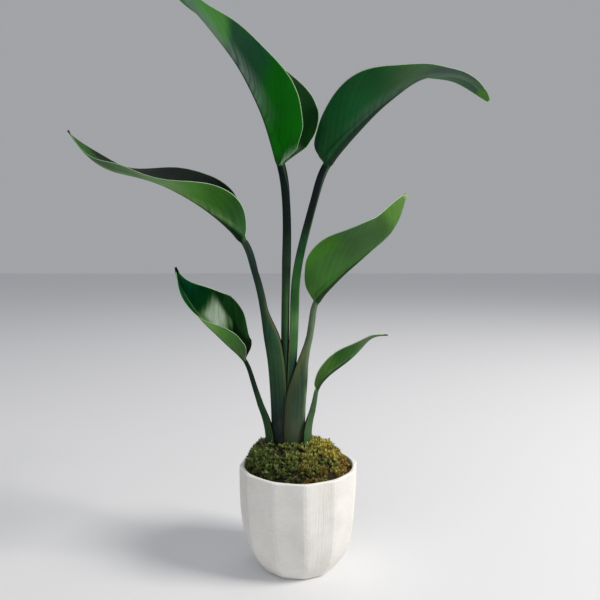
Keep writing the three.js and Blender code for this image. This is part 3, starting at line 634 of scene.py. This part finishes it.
# The colour stops under, upper and stem run along the blade's two faces and up the stalk; beside each leaf's
# own greens they hold painted sunlight, painted cast shadows and painted shade on the darker faces.
LEAVES = [dict(
    name="leaf_top_left", slot="dark_leaf", side=1, blade_at=7, back=10, reach=0.1, opens=(345, 390),
    path=[
        (-12, 0, STEM_FOOT), (-12, 0, 190), (-11.7, 0, 290), (-10.9, 0, 345), (-9.8, 0, 400), (-10.5, 0, 450),
        (-13.5, 0, 480), (-19, -1, 504), (-27, -2, 530), (-37, -4, 558), (-52, -7, 589), (-71, -9, 621),
        (-94, -11, 650), (-118, -13, 677), (-144, -16, 703), (-170, -18, 729),
    ],
    stalk=((10.4, 5), (8.6, 4.2)), half_width=67, base=0.5, tip=1.05, uneven=0.065, wave=1.4, waves=3.5,
    ruffle=2.6, roll=(30, -5, 10, -18), fold=(75, 47, 5, 15), curl=(15, 0, -15, -10),
    under=((0, 14, 78, 12), (0.1, 2, 104, 0), (0.34, 2, 102, 4), (0.43, 16, 76, 42), (0.57, 28, 86, 50),
        (0.63, 86, 162, 66), (0.8, 80, 150, 70), (0.95, 96, 156, 84)),
    upper=((0, 20, 74, 22), (0.15, 3, 52, 8), (0.35, 6, 44, 8), (0.9, 58, 112, 34)),
    painted_light_and_shade=((0, 1, -0.03, 0.025, 8, 40, (176, 210, 174), 0.9),
        (1, -1, -0.03, 0.04, 8, 30, (132, 168, 128), 0.7)),
    tip_colour=(92, 142, 44), tip_from=0.965, rib=((116, 138, 124), 26, 1, 0.46),
    stem=((100, 30, 50, 34), (260, 30, 54, 38), (330, 44, 74, 42), (380, 34, 54, 36), (440, 14, 28, 24)),
    pale_back_and_highlight=((60, 84, 56), 5, 0.3), papery=None, unseen=(36, 104, 34), gloss=0.1,
), dict(
    name="leaf_top_right", slot="dark_leaf", side=-1, blade_at=7, back=7, reach=3.4, opens=(200, 335),
    path=[
        (-11.2, 0, STEM_FOOT), (-11.2, 0, 220), (-9.8, 0, 300), (-7.1, 0, 365), (-0.6, 0, 400), (8, 0, 433),
        (17, 0, 465), (32.5, 0, 503), (52, 2, 528), (74, 5, 551), (97, 8, 573), (124, 10, 594),
        (153, 13, 611), (180, 15, 615), (202, 17, 613), (219, 18, 604), (230, 19, 594), (238, 20, 585),
    ],
    stalk=((10.4, 5), (8, 4.2)), half_width=57, base=0.45, tip=0.67, uneven=0.1, wave=1.3, waves=3,
    ruffle=1.5, roll=(-32, -56, -83, 45, 33, -16, 9), fold=(74, 33, -1, -6), curl=(20, 3, -15, 10),
    under=((0, 31, 72, 40), (0.1, 22, 78, 36), (0.25, 12, 78, 34), (0.42, 20, 80, 36),
        (0.56, 46, 86, 44), (0.78, 46, 80, 50), (0.93, 54, 96, 56)),
    upper=((0, 18, 58, 30), (0.6, 24, 66, 38), (0.85, 36, 74, 54)),
    painted_light_and_shade=((0, 1, 0.0, 0.07, 19, 40, (22, 34, 44), 0.8),
        (0, 1, 0.66, 0.9, 16, 40, (28, 56, 50), 0.8)),
    tip_colour=(64, 124, 26), tip_from=0.95, rib=((74, 96, 82), 17, 0.85, 0.4),
    stem=((100, 30, 56, 42), (255, 24, 54, 42), (285, 56, 96, 54), (310, 68, 108, 60), (335, 36, 78, 34),
        (370, 42, 92, 40), (400, 28, 64, 36), (440, 12, 22, 22)),
    pale_back_and_highlight=((96, 128, 92), 5, 0.35), papery=(2.5, 205, 335), unseen=(30, 84, 40), gloss=0.1,
), dict(
    name="leaf_upper_left", slot="light_leaf", side=1, blade_at=9, back=10, reach=11, opens=(280, 330),
    path=[
        (-24.4, 0, STEM_FOOT), (-24.4, 0, 190), (-26.7, 0, 236), (-29, 0, 261), (-33, 0, 287), (-38, 0, 318),
        (-43.2, 0, 345), (-51.2, 0, 374), (-59, 0, 396), (-66.5, 0, 410), (-88, -3, 433), (-113, -5, 452),
        (-140, -8, 468), (-169, -11, 481), (-199, -13, 489), (-230, -16, 497), (-255, -19, 515),
        (-273, -22, 540),
    ],
    stalk=((8.6, 4.4), (6.8, 3.7)), half_width=62, base=0.85, tip=1, uneven=0.1, wave=1.4, waves=3,
    ruffle=0, roll=(-57, 44, 10, -7, 5), fold=(84, 46, -35, 35, 4), curl=(0, 0),
    under=((0, 42, 76, 42), (0.12, 44, 86, 40), (0.25, 56, 108, 36), (0.36, 68, 124, 40),
        (0.46, 90, 134, 64), (0.56, 94, 132, 72), (0.68, 68, 102, 60), (0.78, 46, 84, 38),
        (0.95, 58, 94, 50)),
    upper=((0, 4, 20, 4), (0.45, 4, 24, 8), (0.68, 18, 42, 20), (0.82, 30, 62, 32), (0.93, 56, 96, 42)),
    painted_light_and_shade=((1, -1, 0.5, 0.95, 18, 60, (6, 22, 10), 0.8),),
    tip_colour=(66, 58, 30), tip_from=0.98, rib=((118, 150, 98), 14, 0.65, 0.3),
    stem=((100, 38, 42, 44), (180, 36, 48, 44), (265, 46, 76, 50), (300, 48, 78, 56), (340, 44, 64, 50),
        (400, 30, 46, 42)),
    pale_back_and_highlight=((84, 108, 84), 4, 0.3), papery=(3.5, 226, 345), unseen=(50, 94, 42), gloss=0.04,
), dict(
    name="leaf_middle_right", slot="light_leaf", side=-1, blade_at=7, back=10.3, reach=16, opens=(205, 290),
    path=[
        (-1.8, 0, STEM_FOOT), (-1.8, 0, 180), (-0.5, 0, 210), (2, 0, 236), (4.5, 0, 261), (9.6, 0, 287),
        (15.2, 0, 312), (21, 0, 334), (36, -2, 353), (55, -3, 371), (74, -5, 387), (93, -7, 403),
        (111, -8, 419), (124, -10, 442), (131, -12, 467),
    ],
    stalk=((7.8, 4.2), (5.6, 3.2)), half_width=51, base=0.57, tip=0.73, uneven=-0.1, wave=1.2, waves=2.5,
    ruffle=0.8, roll=(-46, 6, 10, -12), fold=(83, 42, 33, 41), curl=(0, 0),
    under=((0, 78, 128, 56), (0.15, 68, 118, 48), (0.35, 63, 109, 48), (0.58, 56, 96, 46),
        (0.76, 47, 86, 30), (0.87, 72, 114, 42), (0.96, 78, 118, 48)),
    upper=((0, 34, 68, 26), (0.5, 48, 92, 30), (0.9, 84, 130, 50)),
    painted_light_and_shade=((0, 1, 0.12, 0.42, 34, 70, (66, 124, 26), 0.7),),
    tip_colour=(150, 172, 104), tip_from=0.99, rib=((74, 98, 72), 10, 0.35, 0.7),
    stem=((100, 52, 64, 48), (180, 58, 72, 54), (215, 46, 66, 48), (260, 54, 74, 54), (330, 52, 70, 58)),
    pale_back_and_highlight=((128, 150, 116), 11, 0.6), papery=(8, 90, 289), unseen=(60, 104, 44), gloss=0.1,
), dict(
    name="leaf_lower_left", slot="dark_leaf", side=1, blade_at=6, back=4.4, reach=6, opens=(160, 206),
    path=[
        (-36.8, 0, STEM_FOOT), (-36.8, 0, 150), (-38, 0, 172), (-41, 0, 191), (-47, 0, 210), (-56.6, 0, 238),
        (-67, 0, 262), (-84, -2, 279), (-102, -3, 296), (-119, -5, 313), (-133, -7, 333), (-145, -8, 355),
        (-151, -10, 378),
    ],
    stalk=((6.6, 3.6), (3.6, 2.2)), half_width=56, base=0.45, tip=1.11, uneven=-0.04, wave=1.2, waves=2,
    ruffle=1.6, roll=(14, -28, 58, 33, 73), fold=(21, 38, 36, 47, 75), curl=(0, 0),
    under=((0, 44, 74, 20), (0.14, 42, 84, 14), (0.27, 50, 108, 8), (0.36, 62, 126, 12),
        (0.46, 84, 144, 22), (0.6, 92, 140, 40), (0.85, 36, 78, 34)),
    upper=((0, 8, 30, 6), (0.35, 4, 32, 10), (0.6, 2, 44, 12), (0.72, 2, 60, 26), (0.85, 12, 86, 50),
        (0.95, 44, 104, 66)),
    painted_light_and_shade=((1, -1, 0.36, 0.63, -9, 30, (96, 136, 82), 0.95),
        (1, -1, 0.42, 0.6, 6, 28, (190, 200, 190), 0.7),
        (1, -1, 0.08, 0.52, 32, 70, (18, 76, 18), 0.7)),
    tip_colour=(22, 18, 18), tip_from=0.96, rib=((118, 142, 104), 12, 0.5, 0.25),
    stem=((100, 34, 62, 38), (190, 36, 66, 40), (250, 28, 44, 34)),
    pale_back_and_highlight=((70, 92, 66), 4, 0.25), papery=None, unseen=(16, 58, 28), gloss=0.04,
), dict(
    name="leaf_lower_right", slot="light_leaf", side=-1, blade_at=5, back=6, reach=4, opens=(170, 198),
    path=[
        (10.9, 0, STEM_FOOT), (10.9, 0, 165), (12.3, 0, 183), (15, 0, 197), (18.5, 0, 210), (22, 0, 224),
        (31, 2, 237), (49, 5, 251), (66, 7, 263), (79, 9, 275), (94, 12, 288), (114, 14, 291),
    ],
    stalk=((6.6, 3.4), (4, 2.2)), half_width=22, base=0.56, tip=0.9, uneven=-0.1, wave=0.8, waves=2,
    ruffle=0, roll=(4, -39, -10, -2), fold=(32, 52, 23, 12), curl=(0, 0),
    under=((0, 50, 76, 34), (0.12, 46, 76, 30), (0.26, 54, 92, 28), (0.45, 38, 80, 22),
        (0.62, 46, 86, 32), (0.78, 72, 94, 60)),
    upper=((0, 40, 80, 26), (0.6, 36, 74, 24), (0.85, 66, 90, 48)),
    painted_light_and_shade=(),
    tip_colour=(46, 38, 30), tip_from=0.95, rib=((88, 114, 80), 6, 0.6, 0.35),
    stem=((100, 44, 76, 44), (170, 62, 92, 58), (220, 66, 92, 60)),
    pale_back_and_highlight=((96, 120, 84), 4, 0.3), papery=None, unseen=(48, 86, 32), gloss=0.1,
)]


def stem_layers():
    """Left, right and half depth of each leaf's outside in the stem: an ellipse round the one before it,
    thick on the side where its leaf leaves the stem and thin on the other."""
    layers = [CORE]
    for leaf in LEAVES[1:]:
        left, right, depth = layers[-1]
        thin, thick = SHEATH_GAP + SHEATH_MARGIN, SHEATH_GAP + leaf["back"]
        leftwards, rightwards = (thick, thin) if leaf["side"] > 0 else (thin, thick)
        layers.append((left - leftwards, right + rightwards, depth + thin))
    return layers


def pulled(values, share):
    """A Bezier curve's height: it starts at the first value, ends at the last and is pulled by the others."""
    run = [np.asarray(value, float) for value in values]
    while len(run) > 1:
        run = [first + (second - first) * share for first, second in zip(run, run[1:])]
    return run[0]


def lengths_along(points):
    return np.concatenate([[0], np.cumsum(np.linalg.norm(np.diff(points, axis=0), axis=1))])


class Line:
    """A smooth line through points, read by the length along it."""

    def __init__(self, path):
        at = lengths_along(path)
        where = [np.linspace(a, b, LINE_STEPS, endpoint=False) for a, b in zip(at, at[1:])]
        self.points = spline(at, path, np.concatenate(where + [at[-1:]]))
        self.along = lengths_along(self.points)
        self.knots = self.along[::LINE_STEPS]
        self.length = self.along[-1]

    def at(self, length):
        return np.stack([np.interp(length, self.along, self.points[:, k]) for k in range(3)], -1)


def place_on(leaf, line, length, roll, across, inner):
    """Points across towards the front and inner towards the stem from the line, on level planes in the stem
    and on planes square to the stalk above it, turned by the roll in degrees."""
    centre = line.at(length)
    free = smoothstep(centre[..., 2], *leaf["opens"])[..., None]
    before, after = (line.at(np.clip(length + aim, 0, line.length)) for aim in (-AIM_REACH, AIM_REACH))
    along = unit(between(np.array([0, 0, 1.0]), unit(after - before), free))
    front = np.array([0, -1.0, 0])
    towards_front = unit(front - along * (along @ front)[..., None])
    inwards = np.cross(along, towards_front) * leaf["side"]
    turn = np.radians(roll)[..., None]
    turned_front = towards_front * np.cos(turn) - inwards * np.sin(turn)
    turned_in = inwards * np.cos(turn) + towards_front * np.sin(turn)
    return centre + turned_front * across[..., None] + turned_in * inner[..., None]


def stalk_rows(leaf, order, layers, line, length, share_to_blade, roll, u):
    """Sections of sheath and stalk: the outside is an arc of an ellipse from lip to lip, the inside an arc of
    a smaller one, deep round the younger leaves and a shallow groove on the free stalk."""
    z = line.at(length)[..., 2]
    free = smoothstep(z, *leaf["opens"])
    left, right, depth = layers[order]
    hollow_long, hollow_half = CORE_HOLLOW
    if order:
        inner_left, inner_right, inner_depth = layers[order - 1]
        hollow_long, hollow_half = (inner_right - inner_left) / 2 + SHEATH_GAP, inner_depth + SHEATH_GAP
    taper = share_to_blade**STALK_TAPER_POWER
    thickness, half_width = (between(foot, neck, taper) for foot, neck in zip(*leaf["stalk"]))
    lips = 1 - math.cos(STALK_WRAP)
    back = between(leaf["back"], thickness, free)
    reach = between(leaf["reach"], LIP, free)
    outer_long = between((right - left) / 2, (thickness + LIP) / lips, free)
    outer_half = between(depth, half_width, free)
    inner_long = between(hollow_long, LIP / lips, free)
    inner_half = between(hollow_half, half_width - LIP_WIDTH, free)
    outer = np.arccos(np.clip(1 - (back + reach) / outer_long, -1, 1)) * u
    inner = np.arccos(np.clip(1 - reach / inner_long, -1, 1)) * u
    deep_in, deep_out = inner_long * (1 - np.cos(inner)), outer_long * (1 - np.cos(outer)) - back
    upper = place_on(leaf, line, length, roll, inner_half * np.sin(inner), deep_in)
    under = place_on(leaf, line, length, roll, outer_half * np.sin(outer), deep_out)
    out = np.abs(outer) * (outer_long + outer_half) / 2
    return upper, under, out, out.max(1, keepdims=True) - out


def blade_rows(leaf, line, start, share, u):
    """Each half bends round the midrib by the fold, then on by the curl towards its margin. A row follows a
    side vein out and forwards. The width is a power of the share from the base times a power of the rest."""
    length = line.length - start
    side = np.where(u < 0, -1, 1)
    widest = leaf["base"] / (leaf["base"] + leaf["tip"])
    shape = (share / widest) ** leaf["base"] * ((1 - share) / (1 - widest)) ** leaf["tip"]
    full = np.maximum(leaf["half_width"] * (1 - side * leaf["uneven"]) * shape, TIP_HALF_WIDTH)
    begin = share * length - VEIN_LEAN * full * share**VEIN_LEAN_POWER
    rib_half = 0.5 + leaf["stalk"][1][1] * (1 - share) ** 0.9
    first = np.minimum(rib_half, 0.25 * full)
    step = np.interp(np.abs(u) * RIB_PARTS - 1, np.arange(len(BLADE_STEPS)), BLADE_STEPS)
    on_rib = np.abs(u) <= 1 / RIB_PARTS
    out = np.where(on_rib, first * np.abs(u) * RIB_PARTS, first + (full - first) * step)
    crossed = out / full
    at_length = begin + (share * length - begin) * crossed**VEIN_SWEEP
    at = np.clip(at_length / length, 0, 1)
    fold = np.radians(pulled(leaf["fold"], at))
    fold = np.where(np.abs(fold) < FLATTEST, FLATTEST, fold)
    curl = np.radians(pulled(leaf["curl"], at))
    near = fold * np.minimum(out, rib_half) / rib_half
    across = rib_half / fold * np.sin(near)
    inner = rib_half / fold * (1 - np.cos(near))
    bend = np.where(np.abs(curl) < FLATTEST, FLATTEST, curl) / full
    beyond = out > rib_half
    angle = np.where(beyond, fold + bend * (out - rib_half), near)
    across = across + np.where(beyond, (np.sin(angle) - np.sin(fold)) / bend, 0)
    inner = inner + np.where(beyond, (np.cos(fold) - np.cos(angle)) / bend, 0)
    edge = crossed**2
    lift = leaf["wave"] * edge * np.sin(2 * math.pi * leaf["waves"] * at + 1.7 * side)
    broad_ruffle = np.exp(-((at / 0.12) ** 2)) * np.sin(60 * at + side)
    crumple = 0.6 * np.exp(-((at / 0.06) ** 2)) * np.sin(170 * at + 2 * side)
    lift = lift + leaf["ruffle"] * edge * (broad_ruffle + crumple)
    vein = at_length - VEIN_RUN * out
    pleats = PLEAT_HEIGHT * np.sin(2 * math.pi * vein / PLEAT)
    lift = lift + pleats * smoothstep(crossed, 0.1, 0.4) * (1 - share)
    rib = np.sqrt(np.maximum(0, 1 - (out / (RIB_SWELL * rib_half)) ** 2))
    keel = BLADE_THICKNESS + (leaf["stalk"][1][0] - BLADE_THICKNESS) * (1 - at) ** 1.6
    plain = BLADE_THICKNESS + (MARGIN_THICKNESS - BLADE_THICKNESS) * smoothstep(crossed, 0.3, 1)
    depth = plain + (keel - plain) * rib
    roll = pulled(leaf["roll"], at)
    where = np.clip(start + at_length, 0, line.length)
    to_front, to_stem = -side * np.sin(angle), np.cos(angle)
    upper = place_on(leaf, line, where, roll, side * across + lift * to_front, inner + lift * to_stem)
    below = lift - depth
    under = place_on(leaf, line, where, roll, side * across + below * to_front, inner + below * to_stem)
    return upper, under, out, full - out, vein


def leaf_mesh(leaf, order, layers, stalk_count=90, blade_count=130, rib_points=6, half_points=20):
    """Rows of the stalk, then of the blade, which opens out of the stalk's section over its first few rows.
    The marks are each point's distance out from the midrib and in from the edge, its share along the blade
    (below nothing on the stalk), its half, its face, and where the side vein through it leaves the midrib."""
    line = Line(leaf["path"])
    start = line.knots[leaf["blade_at"]]
    opened = line.along[np.argmax(line.points[:, 2] >= leaf["opens"][1])]
    rib = np.linspace(0, 1 / RIB_PARTS, rib_points)
    half = np.concatenate([rib, np.linspace(1 / RIB_PARTS, 1, half_points)[1:]])
    u = np.concatenate([-half[:0:-1], half])[None, :]
    length = np.linspace(0, start, stalk_count, endpoint=False)[:, None] + 0 * u
    roll = leaf["roll"][0] * smoothstep(length, start - ROLL_RUN, start)
    to_blade = np.clip((length - opened) / (start - opened), 0, 1)
    stalk = stalk_rows(leaf, order, layers, line, length, to_blade, roll, u)
    stalk = (*stalk, length - start - VEIN_RUN * stalk[2])
    t = np.linspace(0, 1, blade_count)[:, None] + 0 * u
    share = 1 - (1 - t**ROW_CROWDING) ** TIP_CROWDING
    blade = blade_rows(leaf, line, start, share, u)
    width = leaf["half_width"] * (share / NECK_SHARE) ** leaf["base"]
    begin = share * (line.length - start) - VEIN_LEAN * width * share**VEIN_LEAN_POWER
    begin = start + np.maximum(0, begin)
    whole, roll = np.ones(begin.shape), np.full(begin.shape, float(leaf["roll"][0]))
    neck = stalk_rows(leaf, order, layers, line, np.minimum(begin, line.length), whole, roll, u)
    neck = (*neck, begin - start - VEIN_RUN * neck[2])
    opening = smoothstep(t, 0, OPENING)
    rows = dict(blade=np.concatenate([(length - start) / 100, share]))
    for name, first, closed, flat in zip(("upper", "under", "out", "edge", "vein"), stalk, neck, blade):
        flattened = opening[..., None] if closed.ndim == 3 else opening
        rows[name] = np.concatenate([first, between(closed, flat, flattened)])
    points = np.concatenate([rows["upper"], rows["under"][:, ::-1]], 1)
    faces = ring_faces(*points.shape[:2], "strip")
    points = points.reshape(-1, 3)
    one = np.ones_like(rows["out"])
    rows["half"] = np.sign(u) * one
    marks = {name: np.concatenate([rows[name], rows[name][:, ::-1]], 1) for name in LEAF_MARKS}
    return points, facing_out(points, faces), dict(marks, inner=np.concatenate([one, 0 * one], 1))


def banded(paint, value, stops):
    """Colours that run into one another where the value passes from one stop to the next."""
    colour = stops[0][1:]
    for last, stop in zip(stops, stops[1:]):
        colour = paint.mix(paint.step(value, last[0], stop[0]), colour, stop[1:])
    return colour


def leaf_material(leaf):
    """Green by face and along the blade, in bands that also hold painted sunlight and painted shadow,
    streaked along the side veins, with painted shade along the keel, a greyer band by it that is partly
    grey bloom and partly a painted sheen, and a thin pale margin. Faces that the front doesn't show lean
    to one even green. Patches of painted light and shade, each a glint, sheen, reflection or shadow, lie
    on one half of one face. The stalk is banded up its height with painted light and shadow, has a paler
    strip down its outside that is partly a painted highlight, is streaked along its fibres and blotched
    brown below, and a papery margin, given by its width and heights, is the colour of old straw."""
    paint = Paint(leaf["name"] + "_skin", leaf["gloss"])
    mix, step, noise, point = paint.mix, paint.step, paint.noise, paint.point
    out, edge, along, half, vein, inner = (paint.mark(name) for name in (*LEAF_MARKS, "inner"))
    height = paint.height()
    on_blade = step(along, -0.03, 0.02)
    near = step(half, -0.3, 0.3)
    outer, far, on_stem = 1 - inner, 1 - near, 1 - on_blade
    fine = noise(1.0, 3.0, 0.6, point(vein * 0.55, out * 0.008, half * 7.0))
    broad = noise(1.0, 2.0, at=point(vein * 0.1, out * 0.006, half * 7.0))
    cloud = noise(22.0) - 0.5
    freckle = noise(420.0, 3.0, 0.7)

    # The bands along both faces hold painted sunlight and painted shadow.
    under = mix(far * 0.65, banded(paint, along, leaf["under"]), leaf["unseen"])
    upper = mix(near * 0.65, banded(paint, along, leaf["upper"]), leaf["unseen"])
    colour = mix(inner, under, upper)
    ragged = along + (broad - 0.5) * 0.1 + (fine - 0.5) * 0.08 + cloud * 0.06
    # Patches of painted light and shade: painted glints, sheens, reflections and shadow strips on one half of
    # one face.
    for face, side, start, end, first, last, seen, strength in leaf["painted_light_and_shade"]:
        patch = step(ragged, start - 0.04, start + 0.04) * step(ragged, end + 0.04, end - 0.04)
        patch = patch * step(out, first - 3.0, first + 3.0) * step(out, last + 4.0, last - 4.0)
        patch = patch * (inner if face else outer) * (near if side > 0 else far)
        colour = mix(patch * step(fine, 0.3, 0.62, 0.35, 1.0) * strength, colour, seen)
    seen, reach, strength, rise = leaf["rib"]
    streaks = step(broad, 0.38, 0.62) * 0.6 + 0.4
    # A greyer band by the keel on the near half: partly the underside's grey bloom, partly a painted sheen.
    bloom_and_sheen_band = step(out, reach, 2.5) * step(along, rise - 0.3, rise) * outer * streaks * near
    colour = mix(bloom_and_sheen_band * strength, colour, seen)
    # Painted shade along the keel's shaded side, wider on the far half.
    keel = (step(out, 3.0, 1.4) * near + step(out, 11.0, 5.0) * far) * outer
    colour = mix(keel * step(along, 0.75, 0.4) * 0.85, colour, KEEL_SHADE)
    pale_rib = step(out, 2.2, 0.9) * step(along, 0.5, 0.7) * outer
    colour = mix(pale_rib * 0.45, colour, RIB_GREEN)
    colour = mix(step(out, 1.6, 0.5) * inner * 0.35, colour, GROOVE_GREEN)
    light = 1.0 + cloud * 0.8 + (fine - 0.5) * 0.4 + (broad - 0.5) * 0.5
    colour = mix(1.0, colour, light, "MULTIPLY")
    margin = step(edge + (freckle - 0.5) * 0.3 + (broad - 0.5) * 0.3, 0.95, 0.5)
    colour = mix(margin * 0.7, colour, MARGIN_GREEN)
    tip = step(along + cloud * 0.02, leaf["tip_from"] - 0.015, leaf["tip_from"] + 0.01)
    colour = mix(tip, colour, leaf["tip_colour"])

    fibre = noise(1.0, 4.0, 0.65, point(out * 0.85, height * 0.006, 5.0))
    blotch = noise(85.0, 3.0, 0.6, paint.stretched(1, 1, 0.45))
    seen, reach, strength = leaf["pale_back_and_highlight"]
    # The bands up the stalk hold painted light and shadow.
    stem = banded(paint, height, leaf["stem"])
    # A paler strip down the middle of the stalk's outside, partly a painted highlight.
    stem = mix(step(out, reach, reach * 0.25) * strength, stem, seen)
    brown = step(blotch, 0.52, 0.68) * step(height, 250.0, 150.0)
    stem = mix(brown * 0.5, stem, OLD_BROWN)
    light = 1.0 + (fibre - 0.5) * 1.4 + cloud * 0.7 + (blotch - 0.5) * 0.9
    stem = mix(1.0, stem, light, "MULTIPLY")
    stem = mix(step(freckle, 0.64, 0.78) * 0.2, stem, STEM_FLECK)
    rough = 0.44 + 0.1 * (fine - 0.5) + 0.1 * freckle
    if leaf["papery"]:
        width, low, high = leaf["papery"]
        ragged = edge + cloud * 3.0 + (fibre - 0.5) * 2.0
        papery = step(ragged, float(width), width * 0.3) * step(height, high + 10.0, high - 25.0)
        papery = papery * step(height, low - 40.0, float(low)) * on_stem
        straw = mix(1.0, banded(paint, height, STRAW), 0.6 + fibre * 0.8, "MULTIPLY")
        stem = mix(papery * 0.65, stem, straw)
        rough = rough + papery * 0.25
    relief = (fine * 0.6 + broad * 0.5) * on_blade + fibre * on_stem + freckle * 0.015
    return paint.finish(mix(on_blade, stem, colour), rough, relief, 0.0003)


layers = stem_layers()
for order, leaf in enumerate(LEAVES):
    points, faces, marks = leaf_mesh(leaf, order, layers)
    skin = leaf_material(leaf)
    make_piece(leaf["name"] + "_living", points, faces, skin, leaf["slot"], [leaf["name"]], **marks)

# The stage: a plain pale floor, a large soft key light from the right, and soft fill all round.
# The camera stands where the photograph was taken from, level with the middle of the plant.
CAMERA_PLACE = (0.002, -0.746, 0.393)
CAMERA_DOWN = 4.3
LENS = 36
FLOOR_REACH = 12
FLOOR_LEVEL = -0.0003
PLANT_MIDDLE = 0.33
STUDIO_GREY, STUDIO_LIGHT = (0.86, 0.88, 0.92, 1), 0.42


def stage_material(name, colour, roughness):
    paint = Paint(name)
    speckle = paint.noise(3.0, 2.0)
    darker = tuple(value - 5 for value in colour)
    return paint.finish(paint.mix(speckle * 0.3, colour, darker), roughness)


floor_mesh = bpy.data.meshes.new("floor")
corners = [(-1, -1), (1, -1), (1, 1), (-1, 1)]
corners = [(x * FLOOR_REACH, y * FLOOR_REACH, FLOOR_LEVEL) for x, y in corners]
floor_mesh.from_pydata(corners, [], [(0, 1, 2, 3)])
floor_mesh.materials.append(stage_material("pale_floor", (240, 240, 242), 0.85))
put_in_scene("floor", floor_mesh)

for name, place, size, power, warmth in (
    ("key", (2.7, -0.8, 2.1), 1.2, 98, (1, 0.97, 0.92)),
    ("fill", (-1.6, -3.0, 1.6), 2.8, 13, (0.94, 0.97, 1)),
    ("back", (0.5, 2.0, 3.2), 1.8, 8, (1, 1, 1)),
):
    light = bpy.data.lights.new(name, "AREA")
    light.size, light.energy, light.color = size, power, warmth
    lamp = put_in_scene(name, light)
    lamp.location = place
    x, y, z = np.array([0, 0, PLANT_MIDDLE]) - np.array(place)
    lamp.rotation_euler = (math.atan2(np.hypot(x, y), -z), 0, math.atan2(y, x) - math.pi / 2)

world = bpy.data.worlds.new("studio")
world.use_nodes = True
background = world.node_tree.nodes["Background"]
background.inputs["Color"].default_value = STUDIO_GREY
background.inputs["Strength"].default_value = STUDIO_LIGHT
bpy.context.scene.world = world
bpy.context.scene.view_settings.view_transform = "Standard"

camera = put_in_scene("camera", bpy.data.cameras.new("camera"))
camera.data.lens = LENS
camera.data.sensor_width = 36
camera.location = CAMERA_PLACE
camera.rotation_euler = (math.radians(90 - CAMERA_DOWN), 0, 0)
bpy.context.scene.camera = camera
